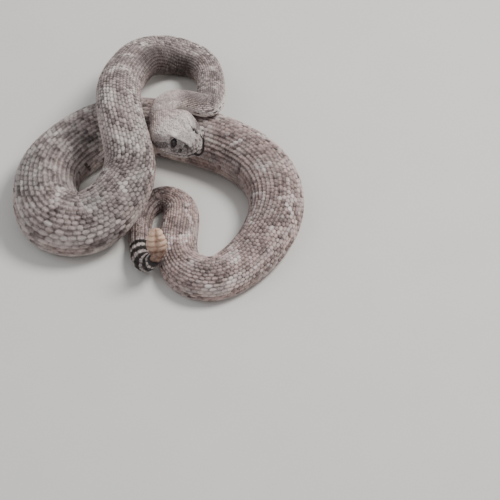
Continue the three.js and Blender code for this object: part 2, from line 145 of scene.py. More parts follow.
# Skin and scales
SKIN_SIDES = 144
HEAD_RINGS, BODY_RINGS = 150, 340
SNOUT_CROWDING = 1.25  # over 1, the rings lie closer together towards the snout
SKIN_DEPTH = 0.45  # depth of the skin under the scales' outer line
HEAD_SKIN_DEPTH = 0.2
DORSAL_ROWS = 27
DORSAL_REACH = 0.74  # share of the half section, from the middle of the back, that the small scales cover
VENT = 956  # distance behind the skull at which the tail begins
BLACK_RING_PLACES = (5.6, 14.3, 23.4, 32.5)  # before the end of the tail
PATCH = 0.003  # width of a scale on the bake map

# Where the body is parted in coat pieces
COAT_CUTS = (0, 110, 260, 460, 700, 860, 956, 1060)

FLESH_NODES = (
    "head", "lower_jaw", "neck", "neck_fold", "body_01_arch_right", "body_02_arch_left",
    "body_03_column_back", "body_04_column_front", "body_05_coil_entry", "body_06_coil_front",
    "body_07_coil_left", "body_08_coil_back", "body_09_crossing", "body_10_right_back",
    "body_11_right_side", "body_12_right_front", "body_13_right_bottom", "body_14_right_arm",
    "tail_bend", "tail_ringed", "tail_tip",
)


def srgb(r, g, b):
    """A linear colour from 8-bit screen values."""
    def linear(c):
        c /= 255
        return c / 12.92 if c <= 0.04045 else ((c + 0.055) / 1.055) ** 2.4
    return (linear(r), linear(g), linear(b), 1.0)


PINK_BROWN, GREY_BROWN = srgb(207, 176, 169), srgb(190, 179, 174)
CREAM, BELLY_CREAM = srgb(234, 223, 217), srgb(224, 208, 196)
HEAD_GREY = srgb(231, 217, 212)
DARK_BROWN = srgb(54, 44, 43)
BETWEEN_SCALES = srgb(50, 41, 40)
RING_BLACK = srgb(20, 18, 19)
HORN_BROWN, HORN_PALE, HORN_CREAM = srgb(86, 49, 34), srgb(231, 194, 167), srgb(232, 202, 182)
# HORN_SEAM and HORN_CREASE: painted shade in the joins between segments and in the groove
HORN_BLOTCH, HORN_SEAM, HORN_CREASE = srgb(112, 74, 58), srgb(118, 80, 66), srgb(116, 76, 60)
IRIS_DARK, IRIS_LIGHT, IRIS_RIM = srgb(36, 31, 29), srgb(72, 62, 56), srgb(28, 23, 21)
PUPIL_BLACK, SOCKET_BROWN = srgb(6, 5, 5), srgb(26, 20, 18)
TONGUE_BLACK, TONGUE_BROWN = srgb(14, 12, 14), srgb(34, 26, 28)
FLOOR_DARK, FLOOR_PALE = srgb(214, 211, 206), srgb(222, 219, 214)


# Curves

def profile(pairs):
    """A smooth curve of a value through pairs of place and value."""
    places, values = np.array(pairs, float).T
    slopes = np.empty_like(values)
    slopes[1:-1] = (values[2:] - values[:-2]) / (places[2:] - places[:-2])
    slopes[0] = (values[1] - values[0]) / (places[1] - places[0])
    slopes[-1] = (values[-1] - values[-2]) / (places[-1] - places[-2])

    def value(place):
        at = np.clip(place, places[0], places[-1])
        i = np.clip(np.searchsorted(places, at, side="right") - 1, 0, len(places) - 2)
        span = places[i + 1] - places[i]
        t = (at - places[i]) / span
        rise = t * t * (3 - 2 * t)
        early = t * (1 - t) ** 2 * span * slopes[i]
        late = t * t * (t - 1) * span * slopes[i + 1]
        return values[i] + (values[i + 1] - values[i]) * rise + early + late

    return value


def smoothstep(value, low, high):
    """0 up to the low value, 1 from the high one, and a smooth rise between them."""
    t = np.clip((value - low) / (high - low), 0, 1)
    return t * t * (3 - 2 * t)


def fade(value, low, high):
    return 1 - smoothstep(value, low, high)


def within(value, begin, full, fading, end):
    """1 over a stretch, with a soft edge at both ends."""
    return smoothstep(value, begin, full) * fade(value, fading, end)


def mix(a, b, share):
    return a + (b - a) * share


def hump(distance, width):
    return np.exp(-((distance / width) ** 2))


def strongest(*shares):
    """The largest of several shares at each place."""
    return functools.reduce(np.maximum, shares)


def table_of(*values):
    """A table with an array, or one number for all its rows, in each column."""
    return np.stack(np.broadcast_arrays(*values), axis=-1)


def unit(vectors):
    return vectors / np.maximum(np.linalg.norm(vectors, axis=-1, keepdims=True), 1e-12)


def lengths_along(points):
    """Distance of each point from the first, along the line through them all."""
    return np.concatenate([[0], np.cumsum(np.linalg.norm(np.diff(points, axis=0), axis=1))])


def interpolate(at, places, table):
    """Rows of a table, read between the places that it gives."""
    return table_of(*(np.interp(at, places, column) for column in table.T))


def rotation_about(axis, degrees):
    a = math.radians(degrees)
    c, s = math.cos(a), math.sin(a)
    if axis == "x":
        return np.array([[1, 0, 0], [0, c, -s], [0, s, c]])
    if axis == "y":
        return np.array([[c, 0, s], [0, 1, 0], [-s, 0, c]])
    return np.array([[c, -s, 0], [s, c, 0], [0, 0, 1]])


HEAD_TURN = rotation_about("z", HEAD_YAW) @ rotation_about("y", HEAD_PITCH) @ rotation_about("x", HEAD_ROLL)
HEAD_AT = np.array(NECK_ROUTE[0], float)
girth = profile(GIRTH)


def spline_samples(points, start_direction, steps):
    """Points of the curve with even curvature that leaves the first point along a direction."""
    n = len(points)
    span = np.linalg.norm(np.diff(points, axis=0), axis=1)
    chord = np.diff(points, axis=0) / span[:, None]
    system = np.zeros((n, n))
    wanted = np.zeros((n, 3))
    system[0, :2] = (1, 0.5)
    wanted[0] = 3 / span[0] * (chord[0] - start_direction)
    for i in range(1, n - 1):
        system[i, i - 1:i + 2] = (span[i - 1], 2 * (span[i - 1] + span[i]), span[i])
        wanted[i] = 6 * (chord[i] - chord[i - 1])
    system[-1, -1] = 1
    bend = np.linalg.solve(system, wanted)
    t = np.arange(1, steps + 1)[:, None] / steps
    a = 1 - t
    parts = [
        a * points[i] + t * points[i + 1]
        + span[i] ** 2 / 6 * ((a ** 3 - a) * bend[i] + (t ** 3 - t) * bend[i + 1])
        for i in range(n - 1)
    ]
    return np.concatenate([points[:1], *parts])


def route_points():
    """Stations of the backbone; where no height is given, the body sits on the floor."""
    stations = (
        NECK_ROUTE + FOLD_ROUTE + ARCH_ROUTE + COLUMN_ROUTE + LEFT_COIL_ROUTE + CROSSING_ROUTE
        + RIGHT_COIL_ROUTE + TAIL_ROUTE
    )
    points = [np.array(p if len(p) == 3 else (*p, 0), float) for p in stations]
    placed = 0.0
    for i, station in enumerate(stations):
        if i > 0:
            placed += CURVE_OVER_CHORD * np.linalg.norm(points[i] - points[i - 1])
        if len(station) == 2:
            points[i][2] = SITTING_HEIGHT * girth(placed)
    return np.array(points)


def half_section(top, bottom, top_power, bottom_power):
    """Half a rounded section from its top to its bottom: share of the half width, and height."""
    angle = np.linspace(math.pi / 2, -math.pi / 2, 721)
    c, s = np.cos(angle), np.sin(angle)
    power = 2 / np.where(s >= 0, top_power, bottom_power)
    return np.abs(c) ** power, np.where(s >= 0, top, bottom) * np.sign(s) * np.abs(s) ** power


def surface_of(point, place, t, length, steps, outward=1):
    """Point, outward direction and stretch of a form, from the function that gives its points."""
    step, turn = steps
    after, before = np.minimum(place + step, length), np.maximum(place - step, 0)
    along = point(after, t) - point(before, t)
    round_ = point(place, t + turn) - point(place, t - turn)
    stretch = np.linalg.norm(along, axis=-1) / np.maximum(after - before, 1e-6)
    return point(place, t), outward * unit(np.cross(along, round_)), stretch


class Body:
    """The body's surface: a point for each distance behind the skull and place round the section."""

    def __init__(self):
        self.samples = spline_samples(route_points(), -HEAD_TURN[:, 0], CURVE_STEPS)
        self.reach = lengths_along(self.samples)
        self.length = self.reach[-1]
        self.places = np.linspace(0, self.length, 2200)
        self.middles = self.at(self.places)
        self.make_frames()
        across, height = half_section(BACK_HEIGHT, BELLY_DEPTH, BACK_POWER, BELLY_POWER)
        arc = lengths_along(table_of(across, height))
        self.half_arc = arc[-1]
        self.section = (arc / arc[-1], across, height)

    def at(self, s):
        return interpolate(s, self.reach, self.samples)

    def make_frames(self):
        s, left = self.places, self.length - self.places
        near = np.clip(np.minimum(s, left), *DIRECTION_REACH)
        along = unit(self.at(s + near) - self.at(s - near))
        side = unit(np.cross((0, 0, 1), along))
        for i in range(1, len(s)):
            if abs(along[i, 2]) > STEEP:
                side[i] = unit(side[i - 1] - along[i] * (side[i - 1] @ along[i]))
        # the roll of the head fades out along the neck
        held = fade(s, 0, 30)[:, None]
        side = unit(side * (1 - held) - HEAD_TURN[:, 1] * held)
        side = unit(side - along * np.sum(side * along, axis=1, keepdims=True))
        self.along, self.side, self.up = along, side, np.cross(along, side)
        bend = (self.at(s - BEND_REACH) + self.at(s + BEND_REACH) - 2 * self.middles) / BEND_REACH ** 2
        self.bend = bend * smoothstep(np.minimum(s, left), 4, 9)[:, None]

    def frame(self, s):
        tables = (self.middles, self.along, self.side, self.up, self.bend)
        return [interpolate(s, self.places, table) for table in tables]

    def point(self, s, t):
        """t runs from -1 to 1, 0 in the middle of the back and 1 in the middle of the belly."""
        at, _, side, up, bend = self.frame(s)
        half = girth(s)
        share, across, height = self.section
        x = np.interp(np.abs(t), share, across) * np.sign(t)
        z = np.interp(np.abs(t), share, height)
        offset = side * (half * x)[..., None] + up * (half * z)[..., None]
        lean = np.sum(offset * bend, axis=-1)
        squeezed = FREE_LEAN + SQUEEZED_ROOM * np.tanh((lean - FREE_LEAN) / SQUEEZED_ROOM)
        short = np.where(lean > FREE_LEAN, squeezed - lean, 0)
        offset = offset + bend * (short / np.maximum(np.sum(bend * bend, axis=-1), 1e-9))[..., None]
        point = at + offset
        point[..., 2] = np.maximum(point[..., 2], 0)
        return point

    def surface(self, s, t):
        return surface_of(self.point, s, t, self.length, (0.8, 0.012))

    def arc(self, s):
        return self.half_arc * girth(s)


ridge_across = profile([(x, y) for x, y, z in CANTHUS_ROUTE])
ridge_height = profile([(x, z) for x, y, z in CANTHUS_ROUTE])


def hollow(x, z, middle, radius, depth, rim_radius, rim_width, rim_height):
    """Outward move that makes a round hollow with a raised rim."""
    away = np.hypot(x - middle[0], z - middle[1])
    return rim_height * hump(away - rim_radius, rim_width) - depth * np.exp(-((away / radius) ** 4))


class Head:
    """The head's surface in its own frame, by distance in front of the neck and place round it."""

    def __init__(self):
        self.half_width = profile(HEAD_HALF_WIDTH)
        self.crown = profile(CROWN_HEIGHT)
        self.chin = profile(CHIN_DEPTH)
        self.mouth = profile(MOUTH_HEIGHT)
        self.make_tables()

    def make_tables(self):
        self.xs = np.linspace(0, HEAD_LENGTH, 261)
        self.ts = np.linspace(0, 1, 161)
        rows, arcs = [], []
        for x in self.xs:
            flat = smoothstep(x, *FLAT_CROWN_SPAN)
            slant = mix(REAR_SLANT, FRONT_SLANT, smoothstep(x, *SLANT_SPAN))
            crown, power = self.crown(x), mix(ROUND_NAPE_POWER, FLAT_CROWN_POWER, flat)
            across, z = half_section(crown, self.chin(x), power, CHIN_POWER)
            y = self.half_width(x) * across * (1 - slant * flat * np.maximum(0, z / crown))
            arc = lengths_along(table_of(y, z))
            rows.append([np.interp(self.ts, arc / arc[-1], values) for values in (y, z)])
            arcs.append(arc[-1])
        self.table_y, self.table_z = np.array(rows).transpose(1, 0, 2)
        self.arcs = np.array(arcs)

    def arc(self, x):
        return np.interp(x, self.xs, self.arcs)

    def base(self, x, t):
        """Point of the plain form in the head's frame; t is positive on the snake's right."""
        i = np.clip(x / HEAD_LENGTH * (len(self.xs) - 1), 0, len(self.xs) - 1.001)
        j = np.clip(np.abs(t) * (len(self.ts) - 1), 0, len(self.ts) - 1.001)
        i0, j0 = i.astype(int), j.astype(int)
        fi, fj = i - i0, j - j0

        def pick(table):
            low = table[i0, j0] * (1 - fj) + table[i0, j0 + 1] * fj
            high = table[i0 + 1, j0] * (1 - fj) + table[i0 + 1, j0 + 1] * fj
            return low * (1 - fi) + high * fi

        return table_of(x, -np.sign(t) * pick(self.table_y), pick(self.table_z))

    def t_at_height(self, x, z):
        """Place round the right half of the section at a height."""
        i = int(np.clip(round(x / HEAD_LENGTH * (len(self.xs) - 1)), 0, len(self.xs) - 1))
        return float(np.interp(-z, -self.table_z[i], self.ts))

    def reach_forward(self, y, z):
        """How far forward the rounded tip of the snout reaches at one place seen from the front."""
        widest = [
            np.interp(-z, -heights, widths, left=0, right=0)
            for heights, widths in zip(self.table_z, self.table_y)
        ]
        front = self.xs > 25
        half_width, half_height, middle, rise = SNOUT_BULGE
        bulge = rise * max(1 - (y / half_width) ** 2, 0) * max(1 - ((z - middle) / half_height) ** 2, 0)
        return float(np.interp(abs(y), np.array(widest)[front][::-1], self.xs[front][::-1])) + bulge

    def front_surface(self, y, z):
        """Points and outward directions of the tip of the snout, seen from the front."""
        forward, step = np.vectorize(self.reach_forward), 0.2
        by_y = (forward(y + step, z) - forward(y - step, z)) / (2 * step)
        by_z = (forward(y, z + step) - forward(y, z - step)) / (2 * step)
        return table_of(forward(y, z), y, z), unit(table_of(1, -by_y, -by_z))

    def relief(self, p):
        """How far the brow, canthus, socket, pit, nostril and mouth move a point of the plain form."""
        x, y, z = p[..., 0], np.abs(p[..., 1]), p[..., 2]
        side = smoothstep(y, *SIDE_OF_HEAD)
        brow = hump(x - BROW_AT[0], BROW_LENGTH)
        brow *= hump(np.hypot(y - BROW_AT[1], z - BROW_AT[2]), BROW_WIDTH)
        canthus = hump(np.hypot(y - ridge_across(x), z - ridge_height(x)), CANTHUS_WIDTH)
        canthus *= within(x, *CANTHUS_SPAN)
        out = side * fade(z, *UNDER_BROW) * hollow(x, z, EYE_MIDDLE, *SOCKET)
        out += side * (hollow(x, z, PIT_MIDDLE, *PIT) + hollow(x, z, NOSTRIL_MIDDLE, *NOSTRIL))
        gap = z - self.mouth(x)
        lips = LIP_RISE * hump(np.abs(gap) - LIP_MIDDLE, LIP_WIDTH)
        lips -= MOUTH_GAP_DEPTH * hump(gap, MOUTH_GAP_WIDTH)
        out += smoothstep(x, *MOUTH_CORNER) * lips + BROW_OUT * brow + CANTHUS_RISE * canthus
        return table_of(0, np.where(p[..., 1] >= 0, out, -out), BROW_UP * brow + CANTHUS_RISE * canthus)

    def point(self, x, t):
        base = self.base(x, t)
        return HEAD_AT + (base + self.relief(base)) @ HEAD_TURN.T

    def surface(self, x, t):
        return surface_of(self.point, np.clip(x, 0, HEAD_LENGTH), t, HEAD_LENGTH, (0.25, 0.006), -1)


# Meshes

def mesh_object(name, material, points, quads, triangles=()):
    """An object from millimetre points and faces."""
    mesh = bpy.data.meshes.new(name)
    corners = np.concatenate([np.ravel(quads), np.ravel(triangles)]).astype(np.int32)
    starts = np.concatenate([
        np.arange(len(quads)) * 4, len(quads) * 4 + np.arange(len(triangles)) * 3,
    ]).astype(np.int32)
    mesh.vertices.add(len(points))
    mesh.vertices.foreach_set("co", (np.asarray(points) * MM).astype(np.float32).ravel())
    mesh.loops.add(len(corners))
    mesh.loops.foreach_set("vertex_index", corners)
    mesh.polygons.add(len(starts))
    mesh.polygons.foreach_set("loop_start", starts)
    mesh.update(calc_edges=True)
    mesh.shade_smooth()
    mesh.materials.append(material)
    obj = bpy.data.objects.new(name, mesh)
    bpy.context.scene.collection.objects.link(obj)
    return obj


def paint(obj, name, *tables):
    """Four numbers for each vertex, read by the material."""
    layer = obj.data.color_attributes.new(name, "FLOAT_COLOR", "POINT")
    values = np.concatenate([np.ravel(table) for table in tables])
    layer.data.foreach_set("color", values.astype(np.float32))


def bake_map(obj, uv):
    """The unwrap of a piece, from one place for each vertex."""
    layer = obj.data.uv_layers.new(name="OFBake")
    corners = np.empty(len(obj.data.loops), np.int32)
    obj.data.loops.foreach_get("vertex_index", corners)
    layer.data.foreach_set("uv", uv[corners].astype(np.float32).ravel())


def grid_quads(rows, columns, closed=False):
    i, j = np.meshgrid(np.arange(rows - 1), np.arange(columns if closed else columns - 1), indexing="ij")
    a = i * columns + j
    b = i * columns + (j + 1) % columns
    return np.stack([a, b, b + columns, a + columns], axis=-1).reshape(-1, 4)


def grid_border(rows, columns):
    """Numbers of the points round the edge of a grid, in order."""
    number = np.arange(rows * columns).reshape(rows, columns)
    return np.concatenate([number[:, 0], number[-1, 1:], number[-2::-1, -1], number[0, -2:0:-1]])


def repeated(faces, count, size):
    """The faces of one form, for many copies of its points."""
    return (faces + (np.arange(count) * size)[:, None, None]).reshape(-1, faces.shape[1])


def closed_tube(rings):
    """Points, quads and end triangles of a tube through rings, closed at the middle of both ends."""
    rows, sides = rings.shape[:2]
    points = np.concatenate([rings.reshape(-1, 3), rings[:1].mean(1), rings[-1:].mean(1)])
    first = np.arange(sides)
    following = (first + 1) % sides
    to_last = (rows - 1) * sides
    ends = np.concatenate([
        table_of(rows * sides, following, first),
        table_of(rows * sides + 1, to_last + first, to_last + following),
    ])
    return points, grid_quads(rows, sides, closed=True), ends


# Markings: dark, pale and warm shares, each from 0 to 1

def warmth(s):
    """Pinker in the right-hand coil and greyer from the arch to the left coil."""
    return 0.25 + 0.65 * smoothstep(s, 560, 700) + 0.25 * fade(s, 60, 140)


BLOTCH_SPACING, FIRST_BLOTCH = 34.0, 26.0
MIXED_NECK = (45, 75, 150, 200)  # stretches with many dark and pale single scales
MIXED_LINK, LINK_END = (690, 715), 800
MIXED_TAIL = (925, 950)
# Darker tones over stretches of the body; those on the two coils are painted shade, the arch's in part. Each
# begins, is full, fades and ends along it, and then round it, where the middle of the belly is at 1 and -1.
# The last two are how dark it is, and how much it varies by scale.
SHADES = (
    ((110, 150, 235, 275), (0, 0.25, 2, 3), 0.82, 0.15),  # front flank of the arch: darker skin, partly painted shade
    ((640, 665, 790, 830), (-3, -2, 0.05, 0.2), 0.34, 0),  # inner side of the right coil: painted shade
    ((375, 410, 500, 540), (-0.42, -0.3, 0.3, 0.42), 0.22, 0),  # front of the left coil: painted shade
    ((24, 36, 66, 84), (-0.4, -0.2, 0.2, 0.4), 0.38, 0),  # top of the fold
    ((925, 950, 2000, 3000), (-3, -2, 2, 3), 0.14, 0),  # tail
)
PALE_COLUMN = (333, 18)  # middle and half length of a paler stretch


def drift(s, t, scale, phase):
    """Slow uneven change over the body, from -1 to 1."""
    a, b = s / scale + phase, 110 * t / scale
    waves = np.sin(a + 1.3 * np.sin(b + phase)), np.sin(0.63 * a - 1.7 * b), np.sin(1.9 * b + 0.37 * a)
    return sum(waves) / 3


def diamonds(s, flank, t):
    """Hearts and borders of the diamonds on the back, and the blots between them on the flanks."""
    phase = (s - FIRST_BLOTCH) / BLOTCH_SPACING
    near = phase - np.round(phase) + 0.07 * drift(s, t, 9, 1.0)
    diamond = (np.abs(near) * 2.3) ** 1.25 + (flank / 0.36) ** 1.4 + 0.2 * drift(s, t, 7, 4.0)
    border = hump(diamond - 1.2, 0.3) * smoothstep(drift(s, t, 12, 2.0), -0.25, 0.25)
    between = phase + 0.5 - np.round(phase + 0.5)
    blot = fade(np.hypot(between * 3.6, (flank - 0.5) / 0.12), 0.6, 1.15)
    return fade(diamond, 0.5, 0.95), border, blot


def body_marks(s, t, luck):
    """Faint diamonds with pale patches at their borders, flank blots, and dark and pale single scales."""
    flank, trunk = np.abs(t), fade(s, VENT - 20, VENT + 20)
    back, low_flank = fade(flank, 0.3, 0.66), smoothstep(flank, 0.2, 0.4)
    heart, border, blot = diamonds(s, flank, t)
    border = border * back
    cluster = smoothstep(drift(s, t, 6, 5.0), 0.05, 0.45)
    mixed = within(s, *MIXED_NECK) + 0.6 * smoothstep(s, *MIXED_LINK) * (s < LINK_END)
    mixed = mixed + 0.6 * smoothstep(s, *MIXED_TAIL)
    chance = 0.05 + 0.08 * back + trunk * (0.5 * heart * cluster + 0.1 * heart + 0.22 * blot) + 0.2 * mixed
    dark = np.where(luck[..., 0] < chance, 0.2 + 0.6 * luck[..., 1], 0)
    dark = np.maximum(dark, trunk * (0.14 * heart + 0.16 * heart * cluster + 0.1 * blot))
    for along, round_, shade, uneven in SHADES:
        dark = np.maximum(dark, within(s, *along) * within(t, *round_) * (shade + uneven * luck[..., 3]))
    chosen = luck[..., 2] < 0.04 + 0.85 * border * trunk + 0.16 * mixed
    low_patches = low_flank * smoothstep(s, 370, 400) * trunk * smoothstep(drift(s, t, 8, 3.0), -0.3, 0.3)
    pale = strongest(
        np.where(chosen, 0.1 + (0.3 + 0.5 * border) * luck[..., 3], 0), 0.3 * low_patches,
        0.24 * hump(s - PALE_COLUMN[0], PALE_COLUMN[1]),
        # paler lower flanks by the neck and fold: the belly's pale skin, lightened further as painted light
        0.85 * smoothstep(flank, 0.32, 0.46) * fade(s, 60, 110),
    )
    return np.clip(dark, 0, 1), np.clip(np.where(dark > 0.35, 0, pale), 0, 1)


def tail_rings(s, length):
    """Shares of black, and of the pale ground between the rings."""
    left = length - s
    rings = [fade(np.abs(left - place), 1.9, 2.9) for place in BLACK_RING_PLACES]
    black = strongest(0.9 * fade(left, 0.3, 0.9), *rings)
    return black, fade(left, 34, 40) * (1 - black)


# Lines on the side of the head: x and z of both ends, and the distances where each fades and is gone
EYE_BAND = ((32.6, 2.5), (27, 0.9), 1.9, 2.9)
CHEEK_BAND = ((27, 0.9), (18, -4), 2.375, 3.625)
PIT_BAND = ((39.2, 0.3), (42.8, -0.4), 0.9, 1.9)
UPPER_LINE = ((31, 6.4), (14, 2.6), 0.8, 1.8)
LOWER_LINE = ((34, -1.6), (18, -8), 0.5, 1.2)
FRONT_LINE = ((33.2, 7.4), (35.6, 1.0), 0.4, 1.0)
FLANK_SLANT, FLANK_REAR = 0.54, 37.386  # how far the dark flank's rear edge leans back, and its place
HEAD_WARMTH = 0.8


def drawn(x, z, start, end, full, gone):
    """Share of a line painted between two places."""
    (ax, az), (dx, dz) = start, np.subtract(end, start)
    along = np.clip(((x - ax) * dx + (z - az) * dz) / (dx * dx + dz * dz), 0, 1)
    return fade(np.hypot(x - ax - along * dx, z - az - along * dz), full, gone)


def head_marks(p, luck):
    """The dark flank below a pale brow line, the cheek's dark oval, the pale lips and snout, with painted
    shade on the right side, under the brow, over the cheeks and in the snout's notch, and painted light on
    the snout's left.
    """
    x, left, z = p[..., 0], p[..., 1], p[..., 2]
    side, right = smoothstep(np.abs(left), 2.5, 4.5), fade(left, 1.0, 2.6)
    outside = np.abs(left) - ridge_across(x)
    flank = smoothstep(outside, 0.0, 0.6) * smoothstep(z, -1.6, 0.6)
    flank = flank * smoothstep(x + FLANK_SLANT * z - FLANK_REAR, -0.7, 0.7)
    # band under the brow and canthus ridge: painted shade
    below_ridge = flank * hump(outside - 1.0, 1.3) * fade(x, 45.5, 48)
    # ring round the eye: dark skin, with painted shade from the brow over it
    round_eye = flank * fade(np.hypot(x - EYE_MIDDLE[0] + 0.6, z - EYE_MIDDLE[1]), 3.9, 5.2)
    # front of the snout, on the right half only: painted shade
    front = smoothstep(x, 46.5, 48.5) * within(z, -3.2, -1.8, 5.2, 6.6)
    # both cheeks: painted shadow
    cheek = side * within(z, -2, 0, 6.5, 8.5) * smoothstep(x, 14, 24)
    edge_line = hump(outside + 0.8, 0.9) * within(x, 32, 36, 49, 50.4) * smoothstep(z, 4, 6)
    # dark notch beside the middle of the snout's tip, where the tongue comes out: painted shade
    tip = smoothstep(x, 48.5, 50) * hump(left - 1.2, 1.1) * fade(z, 3, 5)
    line = lambda place: side * drawn(x, z, *place)
    # On the right the flank, the band under the ridge and the ring round the eye are darker than on the
    # left: the difference is painted shade.
    dark = strongest(
        0.96 * line(EYE_BAND), 0.96 * line(CHEEK_BAND), 0.92 * line(PIT_BAND),
        0.8 * flank * (0.4 + 0.6 * right), 0.96 * below_ridge * (0.4 + 0.6 * right),
        0.98 * round_eye * (0.6 + 0.4 * right), 0.68 * front * right, 0.55 * cheek,
        0.45 * smoothstep(x, 36, 44),
    )
    single = np.where(luck[..., 0] < 0.26, 0.1 + 0.45 * luck[..., 1], 0)
    dark = strongest(dark * (0.92 + 0.12 * luck[..., 3]), single, 0.85 * tip)
    pale = strongest(
        0.5 * line(UPPER_LINE), 0.75 * line(LOWER_LINE), 0.2 * line(FRONT_LINE), 0.85 * edge_line,
        0.8 * side * hump(z + 4.8, 1.2) * smoothstep(x, 12, 20), 0.8 * fade(z, -6.5, -5),
        # left side of the snout painted paler: painted light
        0.7 * smoothstep(x, 40, 45) * smoothstep(left, 2.5, 4), np.where(luck[..., 2] > 0.75, 0.45, 0),
    )
    return np.clip(dark, 0, 1), np.clip(np.where(dark > 0.5, 0.2 * pale, pale), 0, 1)


def head_share(x):
    """Share of the head's own ground colour, by distance in front of the neck, or below 0 behind it."""
    return 0.15 * smoothstep(x, -26, 0) + 0.85 * smoothstep(x, 4, 27)


# The skin

EVEN_LUCK = np.full(4, 0.5)
SKIN_EDGE = 0.75  # darkness of the skin, as it shows between scales
STUB_BLACK = 0.9
# dark middle of the snout's tip, where the tongue comes out: painted shade
SNOUT_TIP_DARK = 0.8


def skin_depth(s):
    return mix(HEAD_SKIN_DEPTH, SKIN_DEPTH, smoothstep(s, 0, 20))


def make_skin(body, head, material):
    """One closed skin from the snout to the end of the tail, below the outer line of the scales."""
    t = (np.arange(SKIN_SIDES) + 0.5) / SKIN_SIDES * 2 - 1
    forward = HEAD_LENGTH * (1 - np.linspace(0, 1, HEAD_RINGS) ** SNOUT_CROWDING)
    x, head_t = np.meshgrid(forward[:-1], t, indexing="ij")
    on_head, normals, _ = head.surface(x, head_t)
    on_head = on_head - normals * HEAD_SKIN_DEPTH
    s, body_t = np.meshgrid(np.linspace(0.4, body.length, BODY_RINGS), t, indexing="ij")
    on_body, normals, _ = body.surface(s, body_t)
    on_body = on_body - normals * skin_depth(s)[..., None]
    at, along, *_ = body.frame(np.array([body.length]))
    stub = np.array([at + along * out + (on_body[-1] - at) * share for out, share in TAIL_END])
    obj = mesh_object("skin", material, *closed_tube(np.concatenate([on_head, on_body, stub])))

    form = head.base(x, head_t)
    dark, pale = head_marks(form, EVEN_LUCK)
    # dark line along the gap of the mouth: painted shade
    mouth = 0.85 * hump(form[..., 2] - head.mouth(x), 0.5) * smoothstep(x, 13, 18)
    marks_of_head = table_of(np.maximum(dark, mouth), pale, HEAD_WARMTH, 0)
    dark, pale = body_marks(s, body_t, EVEN_LUCK)
    black, light = tail_rings(s, body.length)
    marks_of_body = table_of(dark, np.maximum(pale, light), warmth(s), black)
    beyond = np.zeros((len(TAIL_END) * SKIN_SIDES + 2, 4))
    beyond[:, 3] = STUB_BLACK
    beyond[-2] = (SNOUT_TIP_DARK, 0, 0, 0)
    paint(obj, "marks", marks_of_head, marks_of_body, beyond)
    underside = smoothstep(np.abs(body_t), DORSAL_REACH - 0.04, DORSAL_REACH + 0.04)
    paint(
        obj, "finish", table_of(SKIN_EDGE, 0.5, 0, head_share(x)),
        table_of(SKIN_EDGE, 0.5, underside, head_share(-s)),
        np.tile((SKIN_EDGE, 0.5, 0, 0), (len(beyond), 1)),
    )
    return obj


# Scales: each a closed, domed and keeled plate whose tip lies over the next one's root

PLATE_STATIONS = np.array([0, 0.22, 0.42, 0.6, 0.77, 0.9, 1.0])
PLATE_COLUMNS = np.array([-1, -0.64, -0.3, 0, 0.3, 0.64, 1])
POINTED = np.array([0.55, 0.78, 0.95, 1.0, 0.9, 0.62, 0.14])
BLUNT = np.array([0.78, 0.96, 1.0, 1.0, 0.94, 0.76, 0.42])
LIP_SHAPE = np.array([0.86, 0.98, 1.0, 1.0, 0.97, 0.88, 0.7])
SCALE_LENGTH, SCALE_WIDTH = 1.55, 1.5  # per distance between two scales of a row, and between two rows
TAIL_SCALE_WIDTH = 1.3  # per width of the scales of the trunk
HEAD_SCALE_LENGTH, HEAD_SCALE_WIDTH = 1.3, 1.02
MARKED_AT = 0.6  # share of a scale's length where its marking is read
HEAD_STRIP = (0.002, 0.195)  # start and length of the head's part of the unwrap
BODY_STRIP = (0.2, 0.795)


class Plates:
    """Many scales of one kind, laid on a surface: u runs from root to tip and v across, from -1 to 1."""

    def __init__(self, outline):
        rows, columns = len(PLATE_STATIONS), len(PLATE_COLUMNS)
        self.size = rows * columns + 1
        self.top = grid_quads(rows, columns)
        loop = grid_border(rows, columns)
        self.under = table_of(self.size - 1, loop, np.roll(loop, -1))[:, ::-1]
        self.u = u = np.append(np.repeat(PLATE_STATIONS, columns), 0.5)
        self.v = v = np.append(np.tile(PLATE_COLUMNS, rows), 0.0)
        self.across = np.append(np.repeat(outline, columns), 0.0) * v
        self.low = np.append(np.zeros(self.size - 1), 1)
        self.dome = (1 - v ** 2) * np.sin(math.pi * np.clip(u * 0.9 + 0.1, 0, 1)) ** 0.5
        self.keel = hump(v, 0.18) * within(u, 0.1, 0.35, 0.9, 1.0)
        self.drop = np.maximum(np.abs(v) ** 6, smoothstep(u, 0.92, 1.0))
        sides = np.abs(v) ** 2.6 * (0.65 + 0.35 * smoothstep(u, 0.5, 0.8))
        # Dark edges: the skin showing at the sides and tip, and painted shade on the root, where the scale
        # before lies over it
        edge = strongest(sides, 0.95 * smoothstep(u, 0.74, 1.0), 0.6 * fade(u, 0.26, 0.46))
        # Along the keel the edge share turns negative: a painted highlight, laid on in cream by the material
        self.edge = edge - (v == 0) * within(u, 0.15, 0.4, 0.85, 1.0)

    def lay(self, surface, arc_of, start, t, length, width, *, root, slope, dome, keel, drop, width_unit,
            thickness, stretch=1.0, forward=1, skew=0.0):
        """Points of every scale, from its root; heights are for scales as wide as the width unit."""
        start, t, length, width = start[:, None], t[:, None], length[:, None], width[:, None]
        along = start + forward * self.u * (length / stretch)
        place = t + (self.across * (width / 2) + skew * self.u * length) / arc_of(along)
        points, normals, _ = surface(along, place)
        form = dome * self.dome + keel * self.keel - drop * self.drop
        height = root + slope * self.u * length + form * (width / width_unit) - thickness * self.low
        points = points + normals * height[..., None]
        points[..., 2] = np.maximum(points[..., 2], 0.01)
        return points


def scale_pitch(s):
    return 0.4 + 0.158 * girth(s)


def lengthwise_places(start, stop, pitch):
    places = [start]
    while places[-1] < stop:
        places.append(places[-1] + float(pitch(places[-1])))
    return np.array(places)


